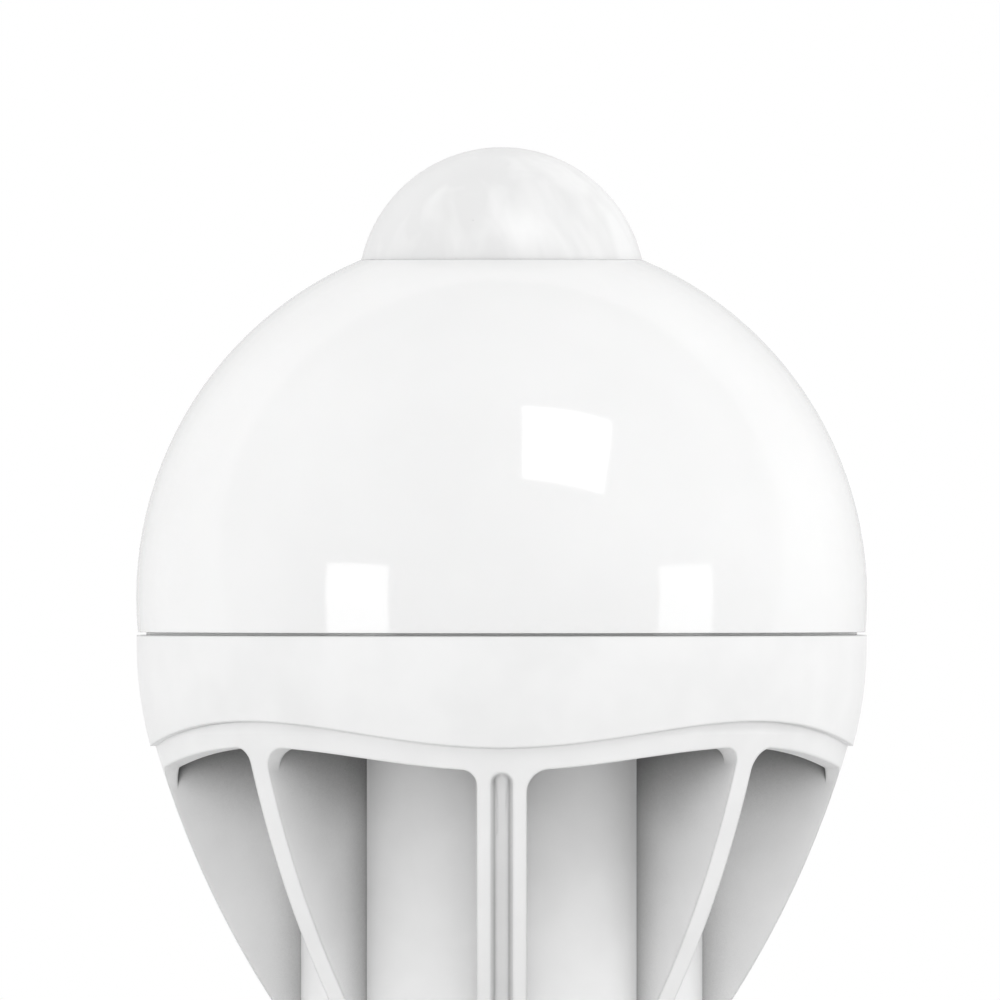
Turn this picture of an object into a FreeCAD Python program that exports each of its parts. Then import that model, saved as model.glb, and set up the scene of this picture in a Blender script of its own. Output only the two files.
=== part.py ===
import FreeCAD, Part
import math
import os
import re
import Sketcher
from FreeCAD import Placement, Rotation, Vector

# Lamp with a motion sensor under its top dome, on a round-thread screw base.
# The origin is the tip of the centre contact, on the axis. +Z runs up to the sensor dome.
# Depths are measured down from the rim of the white casting, where the globe sits.
doc = FreeCAD.newDocument("sensor_lamp")

sizes = [
    ("neck_length", 13.8, "white neck and cone between the screw shell and the casting"),
    ("slip_gap", 0.2, "clearance between round pieces that slide together"),
    ("seat_gap", 0.05, "clearance between faces that are clamped together"),
    ("tool_reach", 1.0, "how far a cutting shape passes the face that it opens"),
    # Globe
    ("globe_radius", 35.0, "outside of the milky globe"),
    ("globe_wall", 1.2, "wall of the globe"),
    ("globe_rise", 3.64, "centre of the globe above the rim"),
    ("shadow_gap", 0.28, "open joint that shows as a dark line under the globe"),
    ("shadow_reach", 0.9, "how far that joint goes in"),
    ("skirt_depth", 2.6, "globe's skirt inside the casting"),
    ("skirt_wall", 1.2, "wall of the skirt"),
    ("snap_depth", 1.5, "snap bead on the skirt below the rim"),
    ("snap_height", 0.35, "how far the snap bead stands out"),
    ("snap_half", 0.5, "half the bead's height along the axis"),
    ("boss_drop", 2.9, "flat seat for the lens below the globe's opening"),
    # Sensor dome
    ("lens_rim", 13.45, "radius of the dome where it leaves the globe"),
    ("lens_drop", 2.95, "centre of the dome's sphere below that rim"),
    ("lens_gap", 0.12, "open joint round the dome"),
    ("lens_wall", 0.8, "wall of the dome"),
    ("lens_flange", 2.95, "how far the dome's flange stands out"),
    ("lens_flange_thick", 1.0, "thickness of that flange"),
    ("lens_facets", 12, "lens faces round the inside of the dome"),
    ("lens_rings", 4, "rings of lens faces"),
    ("lens_crown_angle", 80, "latitude of the flat crown face, in degrees"),
    # Sensor carrier
    ("holder_wall", 1.2, "wall of the pillar that carries the sensor"),
    ("holder_inset", 0.9, "pillar inside the flange's edge"),
    ("holder_foot", 2.0, "how far the pillar's foot stands out"),
    ("holder_foot_thick", 1.2, "thickness of the foot"),
    ("spigot_inset", 2.2, "spigot under the pillar inside the supply wires"),
    ("spigot_depth", 1.3, "how far the spigot reaches down"),
    ("sensor_board_drop", 6.0, "sensor board's top below the pillar's end"),
    ("sensor_board_thick", 1.0, "sensor board"),
    ("ledge_width", 1.7, "ledge under the sensor board"),
    ("ledge_height", 2.6, "ledge with its sloping underside"),
    # Motion sensor
    ("can_radius", 4.1, "sensor can"),
    ("can_height", 4.2, "sensor can above the board"),
    ("can_wall", 0.3, "can's sheet"),
    ("can_brim", 0.5, "can's brim"),
    ("can_pane_length", 4.0, "opening over the sensing element"),
    ("can_pane_width", 3.0, "opening across the can"),
    ("pane_thick", 0.5, "filter pane under the opening"),
    ("pane_margin", 0.6, "how far the pane laps the opening"),
    ("header_thick", 1.3, "glass header that closes the can"),
    ("sensor_pin_radius", 0.23, "pins of the sensor can"),
    ("sensor_pin_circle", 2.54, "circle on which those pins stand"),
    ("sensor_pin_length", 4.4, "whole length of a sensor pin"),
    # Daylight cell and parts under the sensor board
    ("cell_radius", 2.5, "daylight cell"),
    ("cell_thick", 2.1, "thickness of the cell"),
    ("cell_stand", 1.2, "cell above the board"),
    ("cell_place", 8.6, "cell from the axis"),
    ("chip_length", 9.9, "sensor chip"),
    ("chip_width", 3.9, "sensor chip across"),
    ("chip_thick", 1.5, "sensor chip"),
    ("chip_place", 6.2, "sensor chip from the axis"),
    ("chip_feet", 8, "feet on each side of the sensor chip"),
    ("small_can_radius", 2.5, "capacitor under the sensor board"),
    ("small_can_height", 6.0, "its height"),
    ("small_can_place", 7.4, "its distance from the axis"),
    # White casting
    ("collar_overhang", 0.14, "casting outside the globe at the joint"),
    ("collar_wall", 1.5, "wall of the rim round the skirt"),
    ("collar_straight", 1.0, "straight band under the rim"),
    ("collar_curve", 36.0, "curve of the collar's side"),
    ("band_inset", 1.46, "band below the step inside the collar"),
    ("wave_depth", 9.38, "mean depth of the wavy step"),
    ("wave_swing", 1.245, "swing of the step"),
    ("window_depth", 11.7, "mean depth of the windows' upper edge"),
    ("window_swing", 1.1, "swing of that edge"),
    ("window_corner", 2.2, "corner beside a wide fin"),
    ("window_small_corner", 1.5, "corner beside a narrow fin"),
    ("lip_wall", 2.4, "lip over the windows"),
    ("deck_drop", 3.5, "deck for the lighting board below the rim"),
    ("deck_thick", 2.5, "deck"),
    ("core_radius", 19.35, "tube behind the fins"),
    ("core_wall", 1.8, "wall of that tube"),
    ("foot_depth", 38.6, "lower end of the casting"),
    ("foot_land", 0.27, "fins outside the tube at the lower end"),
    ("fin_curve", 93.2, "curve of the fins' outer edges"),
    ("wide_fin", 4.77, "four wide fins"),
    ("narrow_fin", 2.25, "four narrow fins between them"),
    ("fin_pairs", 4, "wide fins round the casting"),
    ("groove_drop", 12.9, "rounded top of the groove in a wide fin below the rim"),
    ("groove_mouth", 2.15, "width of the groove at the fin's face"),
    ("groove_floor", 1.1, "width of the groove at its floor"),
    ("groove_depth", 0.9, "depth of the groove"),
    ("groove_round", 0.4, "rounding where the groove's floor meets its sides"),
    # Lighting board
    ("light_board_gap", 1.55, "lighting board inside the globe's skirt"),
    ("light_board_thick", 1.5, "lighting board"),
    ("diode_count", 16, "light diodes"),
    ("diode_length", 3.5, "light diode along the circle"),
    ("diode_width", 2.8, "light diode across"),
    ("diode_thick", 0.7, "light diode"),
    ("diode_rim", 0.35, "rim round the yellow face"),
    ("diode_dip", 0.12, "yellow face below the rim"),
    ("screw_inset", 3.9, "board screws from the board's edge"),
    ("screw_radius", 1.2, "board screw"),
    ("screw_length", 6.0, "board screw below its head"),
    ("screw_head_radius", 2.2, "head of a board screw"),
    ("screw_head_thick", 1.5, "head of a board screw"),
    ("screw_cross", 0.55, "width of the cross in the head"),
    ("screw_cross_reach", 1.35, "arm of the cross from the screw's middle"),
    ("screw_cross_depth", 0.9, "depth of the cross"),
    # Insulating sleeve
    ("sleeve_wall", 1.2, "wall of the sleeve in the tube"),
    ("sleeve_brim_inset", 0.05, "sleeve's cone inside the tube's outside"),
    ("neck_proud", 1.45, "neck of the sleeve outside the screw shell"),
    ("neck_straight", 4.4, "straight part of the neck"),
    ("waist_share", 0.43, "turn from cone to neck, as a share of the way out to the brim"),
    ("waist_rise", 4.6, "height of that turn above the straight part"),
    ("cone_curve", 30.0, "upper curve of the cone"),
    ("neck_curve", 7.0, "lower curve of the cone"),
    ("neck_wall", 1.6, "wall of the neck"),
    ("neck_chamfer", 0.9, "bevel at the lower end of the neck"),
    ("stub_gap", 0.15, "part of the sleeve inside the screw shell, clear of the shell"),
    ("stub_wall", 1.2, "wall of that part"),
    ("stub_lift", 0.9, "lower end of that part above the insulator"),
    ("rail_gap", 0.15, "clearance of the driver board in its rails"),
    ("rail_thick", 1.0, "rail beside the board"),
    ("rail_depth", 1.8, "how far a rail reaches in"),
    # Driver
    ("driver_edge_gap", 0.95, "driver board's edges inside the sleeve"),
    ("driver_thick", 1.6, "driver board"),
    ("driver_rise", 1.6, "lower edge of the driver board above the casting's foot"),
    ("driver_top_gap", 4.5, "upper edge of the driver board below the deck"),
    ("bulk_radius", 5.0, "large capacitor"),
    ("bulk_height", 16.0, "large capacitor"),
    ("bulk_gap", 3.0, "capacitor below the board"),
    ("out_radius", 3.5, "output capacitor"),
    ("out_gap", 2.16, "top of the output capacitor inside the sleeve"),
    ("out_place", 6.4, "output capacitor from the board's middle"),
    ("out_rise", 9.0, "output capacitor above the board's lower edge"),
    ("part_stand", 0.8, "wound and round parts off the board's face"),
    ("can_groove", 0.35, "crimped groove round a capacitor"),
    ("can_groove_place", 0.12, "groove above the can's lower end, as a share of its height"),
    ("core_gap", 0.51, "corner of the transformer core inside the sleeve"),
    ("core_height", 12.0, "transformer core"),
    ("core_depth", 5.5, "transformer core"),
    ("leg_share", 0.23, "each of the core's three legs, as a share of its length"),
    ("core_yoke", 2.1, "yokes that join the legs at both ends"),
    ("coil_flange", 0.8, "flange of the bobbin"),
    ("coil_proud", 1.6, "winding outside the core's faces"),
    ("coil_inset", 0.7, "winding inside the flange's edge"),
    ("pin_radius", 0.3, "soldered pins"),
    ("pin_reach", 3.0, "how far a pin laps the board"),
    ("bridge_length", 4.7, "rectifier"),
    ("bridge_width", 3.9, "rectifier"),
    ("moulded_thick", 1.5, "chips on the driver board"),
    ("bridge_rise", 6.0, "rectifier above the board's lower edge"),
    ("driver_chip_length", 5.0, "driver chip"),
    ("driver_chip_width", 3.9, "driver chip"),
    ("driver_chip_rise", 18.0, "driver chip above the board's lower edge"),
    ("diode_part_length", 4.4, "output rectifier diode"),
    ("diode_part_width", 2.6, "output rectifier diode"),
    ("diode_part_place", 8.0, "output rectifier diode from the board's middle"),
    ("foot_width", 0.45, "foot of a chip"),
    ("foot_reach", 0.9, "foot beyond a chip's side"),
    ("foot_thick", 0.2, "foot of a chip"),
    # Wires
    ("wire_radius", 0.55, "insulated wire"),
    ("wire_pitch", 2.54, "wires side by side"),
    ("wire_lap", 7.0, "how far a wire laps the driver board"),
    ("feed_inset", 2.3, "supply wires of the lighting board inside the pillar's wall"),
    ("feed_clear", 1.0, "opening in the pillar's floor round those wires"),
    ("solder_height", 0.6, "wire ends above a board"),
    ("fuse_radius", 1.7, "fusible resistor"),
    ("fuse_bevel", 0.45, "bevelled ends of the resistor"),
    ("fuse_height", 7.0, "fusible resistor"),
    ("fuse_low", 15.0, "lower end of the resistor"),
    ("fuse_gap", 1.4, "resistor inside the bore of the base"),
    ("wire_bend", 2.2, "how far a wire runs on before it turns in the base"),
    ("wire_round", 1.76, "radius of a wire's bends"),
    ("return_height", 12.0, "where the return wire reaches the screw shell"),
    ("return_gap", 1.8, "return wire inside the bore of the base"),
    # Screw base
    ("shell_crest", 13.15, "crest of the round thread"),
    ("thread_height", 1.05, "crest of the thread above its root"),
    ("shell_wall", 0.35, "sheet of the screw shell"),
    ("shell_pitch", 3.629, "pitch of the thread"),
    ("shell_top", 26.6, "upper edge of the screw shell"),
    ("shell_rim", 2.6, "plain rim above the thread"),
    ("shell_foot", 6.2, "lower edge of the screw shell"),
    ("shell_foot_inset", 1.8, "lower edge of the screw shell inside the thread's root"),
    ("shell_round", 2.0, "rounding at the lower edge"),
    ("thread_rise", 1.2, "middle of the first thread ridge above the rounding"),
    ("thread_fade", 4.9, "height of the cut that lets the first ridge grow"),
    ("ridge_foot", 0.43, "half a thread ridge's width at its foot, in pitches"),
    ("ridge_flank", 0.36, "half its width just above the foot, in pitches"),
    ("ridge_crown", 0.14, "half its width just under the crest, in pitches"),
    ("ridge_ease", 0.14, "rounding at the ridge's foot and crest, as a share of its height"),
    ("insulator_depth", 1.7, "black insulator inside the shell"),
    ("insulator_bore", 2.0, "hole through the insulator"),
    ("insulator_foot", 2.3, "lower face of the insulator"),
    ("insulator_foot_radius", 5.9, "lower face of the insulator"),
    ("contact_radius", 4.8, "centre contact"),
    ("contact_flat", 3.4, "flat tip of the contact"),
    ("contact_dome", 1.1, "height of the contact's rounded edge"),
    ("contact_round", 1.76, "curve of that edge"),
    ("contact_stem", 1.9, "stem of the contact"),
    ("stem_proud", 0.7, "upper end of the stem above the insulator"),
]

sheet = doc.addObject("Spreadsheet::Sheet", "Sizes")
for row, (alias, value, note) in enumerate(sizes, start=1):
    sheet.set(f"A{row}", alias.replace("_", " "))
    sheet.set(f"B{row}", str(value))
    sheet.set(f"C{row}", note)
    sheet.setAlias(f"B{row}", alias)
doc.recompute()
aliases = {alias for alias, value, note in sizes}


def bound(formula):
    """The formula with each size's name pointed at the sheet."""
    return re.sub(
        r"[a-z][a-z_]*",
        lambda word: "Sizes." + word.group() if word.group() in aliases else word.group(),
        formula,
    )


def size(formula):
    """The value of a formula of sizes now."""
    return float(sheet.evalExpression(formula))


# Places that several pieces share, as formulas of the sizes
seam = "(shell_top + neck_length + foot_depth)"
globe_centre = f"({seam} + globe_rise)"
lens_hole = "(lens_rim + lens_gap)"
opening = f"({globe_centre} + sqrt(globe_radius^2 - {lens_hole}^2))"
globe_inside = "(globe_radius - globe_wall)"
joint_radius = "sqrt(globe_radius^2 - globe_rise^2)"
collar_radius = f"({joint_radius} + collar_overhang)"
collar_inside = f"({collar_radius} - collar_wall)"
skirt_radius = f"({collar_inside} - slip_gap)"
flange_radius = "(lens_rim + lens_flange)"
lens_seat = f"({opening} - boss_drop)"
lens_sphere = "sqrt(lens_rim^2 + lens_drop^2)"
lens_centre = f"({opening} - lens_drop)"
lens_inner = f"({lens_sphere} - lens_wall)"
lens_bore = f"sqrt({lens_inner}^2 - lens_drop^2)"
band_radius = f"({collar_radius} - band_inset)"
lip_inside = f"({band_radius} - lip_wall)"
deck = f"({seam} - deck_drop)"
roof = f"({deck} - deck_thick)"
foot = "(shell_top + neck_length)"
foot_radius = "(core_radius + foot_land)"
core_bore = "(core_radius - core_wall)"
light_board_radius = f"({skirt_radius} - skirt_wall - light_board_gap)"
screw_ring = f"({light_board_radius} - screw_inset)"
board_top = f"({deck} + light_board_thick)"
holder_radius = f"({flange_radius} - holder_inset)"
holder_foot_radius = f"({holder_radius} + holder_foot)"
diode_ring = f"(({holder_foot_radius} + {light_board_radius}) / 2)"
holder_inside = f"({holder_radius} - holder_wall)"
feed_place = f"({holder_inside} - feed_inset)"
spigot_radius = f"({feed_place} - spigot_inset)"
holder_top = f"({lens_seat} - lens_flange_thick - 2 * seat_gap)"
sensor_top = f"({holder_top} - sensor_board_drop)"
sensor_under = f"({sensor_top} - sensor_board_thick)"
sleeve_radius = f"({core_bore} - slip_gap)"
sleeve_inside = f"({sleeve_radius} - sleeve_wall)"
sleeve_top = f"({deck} - slip_gap)"
shell_root = "(shell_crest - thread_height)"
shell_inside = f"({shell_root} - shell_wall)"
shell_foot_radius = f"({shell_root} - shell_foot_inset)"
thread_start = "(shell_foot + shell_round + thread_rise)"
insulator_top = "(shell_foot + insulator_depth)"
contact_stem_top = f"({insulator_top} + stem_proud)"
neck_radius = "(shell_crest + neck_proud)"
neck_height = "(shell_top + neck_straight)"
brim_radius = "(core_radius - sleeve_brim_inset)"
waist_radius = f"({neck_radius} + waist_share * ({brim_radius} - {neck_radius}))"
waist_height = f"({neck_height} + waist_rise)"
stub_radius = f"({shell_inside} - stub_gap)"
stub_bore = f"({stub_radius} - stub_wall)"
stub_foot = f"({insulator_top} + stub_lift)"
driver_low = f"({foot} + driver_rise)"
driver_high = f"({deck} - driver_top_gap)"
driver_width = f"(2 * ({sleeve_inside} - driver_edge_gap))"
driver_face = "(driver_thick / 2)"
out_height = f"(sqrt({sleeve_inside}^2 - (out_place + out_radius)^2) - {driver_face} - part_stand - out_gap)"
coil_base = f"({driver_face} + part_stand + coil_proud)"
core_length = f"sqrt(({sleeve_inside} - core_gap)^2 - ({coil_base} + core_depth)^2)"
core_leg = f"(leg_share * {core_length})"
fuse_place = f"({stub_bore} - fuse_radius - fuse_gap)"
return_place = f"({stub_bore} - return_gap)"
wire_line = "(driver_thick / 2 + wire_radius)"
pin_line = "(driver_thick / 2 + pin_radius)"
insulator_line = "(shell_foot - seat_gap)"

nodes = []


def new_body(label):
    """An empty body that becomes one node."""
    body = doc.addObject("PartDesign::Body", label)
    body.Label = label
    return body


def keep(shape_object, label):
    """Names a finished piece and lists it for writing."""
    shape_object.Label = label
    nodes.append(shape_object)
    return shape_object


def arc_between(start, finish, radius):
    """The shorter arc; a positive radius turns anticlockwise from start to finish."""
    chord = finish - start
    reach = math.sqrt(max(radius**2 - chord.Length**2 / 4, 0))
    left = Vector(-chord.y, chord.x, 0).normalize()
    centre = (start + finish) / 2 + left * math.copysign(reach, radius)
    first, last = (start, finish) if radius > 0 else (finish, start)
    circle = Part.Circle(centre, Vector(0, 0, 1), abs(radius))
    angles = [math.atan2(end.y - centre.y, end.x - centre.x) for end in (first, last)]
    return Part.ArcOfCircle(circle, *angles)


def new_sketch(body, name, plane, lift):
    """A sketch on one of the body's own origin planes, lifted along its normal."""
    sketch = body.newObject("Sketcher::SketchObject", name)
    support = [item for item in body.Origin.OriginFeatures if item.Role == plane]
    sketch.AttachmentSupport = [(support[0], "")]
    sketch.MapMode = "FlatFace"
    sketch.setExpression("AttachmentOffset.Base.z", bound(lift))
    return sketch


def pin_point(sketch, edge, end, across, up):
    """Ties one end of a sketched edge to its two formulas."""
    for kind, axis, formula in (("DistanceX", -2, across), ("DistanceY", -1, up)):
        if formula == "0":
            sketch.addConstraint(Sketcher.Constraint("PointOnObject", edge, end, axis))
            continue
        tie = Sketcher.Constraint(kind, -1, 1, edge, end, size(formula))
        number = sketch.addConstraint(tie)
        name = f"edge{edge}_{end}_{kind[-1].lower()}"
        sketch.renameConstraint(number, name)
        sketch.setExpression("Constraints." + name, bound(formula))


def outline(body, name, path, plane="XZ_Plane", lift="0"):
    """A closed sketch. Each entry is (across, up), reached by a line from the entry before,
    or (across, up, radius), reached by an arc; a minus sign turns the arc clockwise."""
    sketch = new_sketch(body, name, plane, lift)
    corners = [Vector(size(entry[0]), size(entry[1]), 0) for entry in path]
    ends = []
    for number, entry in enumerate(path):
        start, finish = corners[number - 1], corners[number]
        if len(entry) == 2:
            sketch.addGeometry(Part.LineSegment(start, finish))
            ends.append((1, 2))
            continue
        turn = entry[2].lstrip("-")
        clockwise = entry[2].startswith("-")
        radius = size(turn)
        sketch.addGeometry(arc_between(start, finish, -radius if clockwise else radius))
        ends.append((2, 1) if clockwise else (1, 2))
        tie = sketch.addConstraint(Sketcher.Constraint("Radius", number, radius))
        sketch.renameConstraint(tie, f"radius{number}")
        sketch.setExpression(f"Constraints.radius{number}", bound(turn))
    for number, entry in enumerate(path):
        pin_point(sketch, number, ends[number][1], entry[0], entry[1])
        before = (number - 1) % len(path)
        meet = ("Coincident", before, ends[before][1], number, ends[number][0])
        sketch.addConstraint(Sketcher.Constraint(*meet))
    return sketch


def circles(body, name, places, radius, lift, plane="XY_Plane"):
    """A sketch of equal circles at the given places."""
    sketch = new_sketch(body, name, plane, lift)
    for number, (across, up) in enumerate(places):
        centre = Vector(size(across), size(up), 0)
        sketch.addGeometry(Part.Circle(centre, Vector(0, 0, 1), size(radius)))
        pin_point(sketch, number, 3, across, up)
        tie = sketch.addConstraint(Sketcher.Constraint("Radius", number, size(radius)))
        sketch.renameConstraint(tie, f"radius{number}")
        sketch.setExpression(f"Constraints.radius{number}", bound(radius))
    return sketch


def rectangle(width, depth, across="0", up="0"):
    """The corner list of a rectangle about a centre."""
    left, right = f"{across} - ({width}) / 2", f"{across} + ({width}) / 2"
    low, high = f"{up} - ({depth}) / 2", f"{up} + ({depth}) / 2"
    return [(left, low), (right, low), (right, high), (left, high)]


def feature(body, kind, name, sketch, length, back=False):
    """A pad or pocket of one sketch; back turns it against the sketch's normal."""
    step = body.newObject("PartDesign::" + kind, name)
    step.Profile = sketch
    step.Reversed = back
    step.setExpression("Length", bound(length))
    sketch.Visibility = False
    return step


def turned(label, path):
    """A body made by turning one outline about the axis."""
    body = new_body(label)
    sketch = outline(body, label + "_outline", path)
    turn = body.newObject("PartDesign::Revolution", label + "_turn")
    turn.Profile = sketch
    turn.ReferenceAxis = (sketch, ["V_Axis"])
    turn.Angle = 360
    return body


def groove(body, name, path):
    """Cuts a turned outline out of the body."""
    sketch = outline(body, name + "_outline", path)
    cut = body.newObject("PartDesign::Groove", name)
    cut.Profile = sketch
    cut.ReferenceAxis = (sketch, ["V_Axis"])
    cut.Angle = 360
    return cut


def around(body, name, originals, count):
    """Repeats features evenly round the axis."""
    doc.recompute()
    pattern = body.newObject("PartDesign::PolarPattern", name)
    pattern.Originals = originals
    pattern.Axis = (originals[0].Profile[0], ["N_Axis"])
    pattern.Angle = 360
    pattern.setExpression("Occurrences", bound(count))
    body.Tip = pattern
    return pattern


def wire_path(points, bend):
    """Straight runs joined by tangent arcs of one radius."""
    edges, start = [], points[0]
    for before, corner, after in zip(points, points[1:], points[2:]):
        back = (before - corner).normalize()
        ahead = (after - corner).normalize()
        half = back.getAngle(ahead) / 2
        trim = bend / math.tan(half)
        first, last = corner + back * trim, corner + ahead * trim
        centre = corner + (back + ahead).normalize() * (bend / math.sin(half))
        middle = centre + (corner - centre).normalize() * bend
        edges.append(Part.LineSegment(start, first).toShape())
        edges.append(Part.Arc(first, middle, last).toShape())
        start = last
    edges.append(Part.LineSegment(start, points[-1]).toShape())
    return Part.Wire(edges)


def make_globe():
    """Milky sphere, open at the top for the sensor dome, with a snap skirt at the bottom."""
    boss = f"({flange_radius} + slip_gap)"
    boss_inner_height = f"{globe_centre} + sqrt({globe_inside}^2 - {boss}^2)"
    ledge = f"({seam} + globe_wall)"
    relief = f"({seam} + shadow_gap)"
    bead = f"({seam} - snap_depth)"
    body = turned("diffuser_globe", [
        ("sqrt(globe_radius^2 - (globe_rise - shadow_gap)^2)", relief),
        (lens_hole, opening, "globe_radius"),
        (lens_hole, lens_seat),
        (boss, lens_seat),
        (boss, boss_inner_height),
        (f"sqrt({globe_inside}^2 - (globe_rise - globe_wall)^2)", ledge, f"-{globe_inside}"),
        (f"{skirt_radius} - skirt_wall", ledge),
        (f"{skirt_radius} - skirt_wall", f"{seam} - skirt_depth"),
        (skirt_radius, f"{seam} - skirt_depth"),
        (skirt_radius, f"{bead} - snap_half"),
        (f"{skirt_radius} + snap_height", bead),
        (skirt_radius, f"{bead} + snap_half"),
        (skirt_radius, seam),
        (f"{collar_radius} - shadow_reach", seam),
        (f"{collar_radius} - shadow_reach", relief),
    ])
    keep(body, "diffuser_globe")


def make_lens():
    """Dome over the motion sensor: smooth outside, rings of flat lens faces inside."""
    body = turned("sensor_lens", [
        ("0", opening),
        (lens_bore, opening),
        (lens_bore, f"{lens_seat} - lens_flange_thick - seat_gap"),
        (flange_radius, f"{lens_seat} - lens_flange_thick - seat_gap"),
        (flange_radius, f"{lens_seat} - seat_gap"),
        ("lens_rim", f"{lens_seat} - seat_gap"),
        ("lens_rim", opening),
        ("0", f"{lens_centre} + {lens_sphere}", lens_sphere),
    ])
    lowest = f"asin(({opening} - {lens_centre}) / {lens_inner})"
    facets = int(size("lens_facets"))
    rings = int(size("lens_rings"))
    sketches = []
    for ring in range(rings + 1):
        latitude = f"({lowest} + (lens_crown_angle * 1deg - {lowest}) * {ring} / {rings})"
        reach = f"{lens_inner} * cos({latitude})"
        corners = [
            (f"{reach} * cos({360 / facets * face})", f"{reach} * sin({360 / facets * face})")
            for face in range(facets)
        ]
        lift = f"{lens_centre} + {lens_inner} * sin({latitude})"
        sketches.append(outline(body, f"lens_ring_{ring}", corners, "XY_Plane", lift))
    cavity = body.newObject("PartDesign::SubtractiveLoft", "lens_faces")
    cavity.Profile = sketches[0]
    cavity.Sections = sketches[1:]
    cavity.Ruled = True
    keep(body, "sensor_lens")


def make_holder():
    """Pillar from the lighting board up to the dome, with a ledge for the sensor board."""
    floor = f"({board_top} + seat_gap)"
    ledge_top = f"({sensor_under} - seat_gap)"
    body = turned("sensor_holder", [
        (f"{spigot_radius} - holder_wall", f"{floor} - spigot_depth"),
        (spigot_radius, f"{floor} - spigot_depth"),
        (spigot_radius, floor),
        (holder_foot_radius, floor),
        (holder_foot_radius, f"{floor} + holder_foot_thick"),
        (holder_radius, f"{floor} + holder_foot_thick"),
        (holder_radius, holder_top),
        (holder_inside, holder_top),
        (holder_inside, ledge_top),
        (f"{holder_inside} - ledge_width", ledge_top),
        (f"{holder_inside} - ledge_width", f"{ledge_top} - ledge_height + ledge_width"),
        (holder_inside, f"{ledge_top} - ledge_height"),
        (holder_inside, f"{floor} + holder_foot_thick"),
        (f"{spigot_radius} - holder_wall", f"{floor} + holder_foot_thick"),
    ])
    openings = circles(body, "holder_feed_circles", feed_places(), "wire_radius + feed_clear", floor)
    feature(body, "Pocket", "holder_feed_openings", openings, "holder_foot_thick", back=True)
    keep(body, "sensor_holder")


def feed_places():
    """Where the two supply wires of the lighting board come up."""
    return [(f"-{feed_place}", wire_line), (feed_place, wire_line)]


def make_sensor_board():
    """Round board on the pillar's ledge."""
    body = new_body("sensor_board")
    rim = circles(body, "sensor_board_rim", [("0", "0")], f"{holder_inside} - slip_gap", sensor_under)
    feature(body, "Pad", "sensor_board_plate", rim, "sensor_board_thick")
    holes = circles(body, "sensor_board_holes", sensor_pin_places(), "sensor_pin_radius + seat_gap",
                    sensor_under)
    feature(body, "Pocket", "sensor_board_drill", holes, "sensor_board_thick", back=True)
    keep(body, "sensor_board")


def sensor_pin_places():
    """Three of four places on the sensor's pin circle."""
    return [("sensor_pin_circle", "0"), ("0", "sensor_pin_circle"), ("-sensor_pin_circle", "0")]


def make_sensor_can():
    """Drawn metal can with a rectangular opening in its top."""
    base = f"({sensor_top} + seat_gap)"
    body = turned("sensor_can", [
        ("can_radius - can_wall", base),
        ("can_radius + can_brim", base),
        ("can_radius + can_brim", f"{base} + can_wall"),
        ("can_radius", f"{base} + can_wall"),
        ("can_radius", f"{base} + can_height"),
        ("0", f"{base} + can_height"),
        ("0", f"{base} + can_height - can_wall"),
        ("can_radius - can_wall", f"{base} + can_height - can_wall"),
    ])
    pane = outline(body, "can_opening", rectangle("can_pane_length", "can_pane_width"),
                   "XY_Plane", f"{base} + can_height")
    feature(body, "Pocket", "can_cut", pane, "can_wall")
    keep(body, "sensor_can")


def make_sensor_pane():
    """Filter pane glued under the can's opening."""
    body = new_body("sensor_filter")
    outer = rectangle("can_pane_length + 2 * pane_margin", "can_pane_width + 2 * pane_margin")
    under = f"{sensor_top} + seat_gap + can_height - can_wall - pane_thick"
    sketch = outline(body, "filter_outline", outer, "XY_Plane", under)
    feature(body, "Pad", "filter_plate", sketch, "pane_thick")
    keep(body, "sensor_filter")


def make_sensor_header():
    """Disc that closes the can and holds its pins."""
    body = new_body("sensor_header")
    base = f"{sensor_top} + seat_gap"
    rim = circles(body, "header_rim", [("0", "0")], "can_radius - can_wall", base)
    feature(body, "Pad", "header_disc", rim, "header_thick")
    holes = circles(body, "header_holes", sensor_pin_places(), "sensor_pin_radius", base)
    feature(body, "Pocket", "header_drill", holes, "header_thick", back=True)
    keep(body, "sensor_header")


def make_sensor_pins():
    """Three pins through the header and the sensor board."""
    body = new_body("sensor_pins")
    top = f"{sensor_top} + seat_gap + header_thick + can_wall"
    sketch = circles(body, "pin_circles", sensor_pin_places(), "sensor_pin_radius", top)
    feature(body, "Pad", "pin_rods", sketch, "sensor_pin_length", back=True)
    keep(body, "sensor_pins")


def make_daylight_cell():
    """Disc on two legs beside the sensor can."""
    body = new_body("daylight_cell")
    lift = f"{sensor_top} + cell_stand"
    disc = circles(body, "cell_rim", [("0", "cell_place")], "cell_radius", lift)
    feature(body, "Pad", "cell_disc", disc, "cell_thick")
    legs = [("-cell_radius / 2", "cell_place"), ("cell_radius / 2", "cell_place")]
    feet = circles(body, "cell_legs", legs, "pin_radius", lift)
    feature(body, "Pad", "cell_wires", feet, "cell_stand", back=True)
    keep(body, "daylight_cell")


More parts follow.
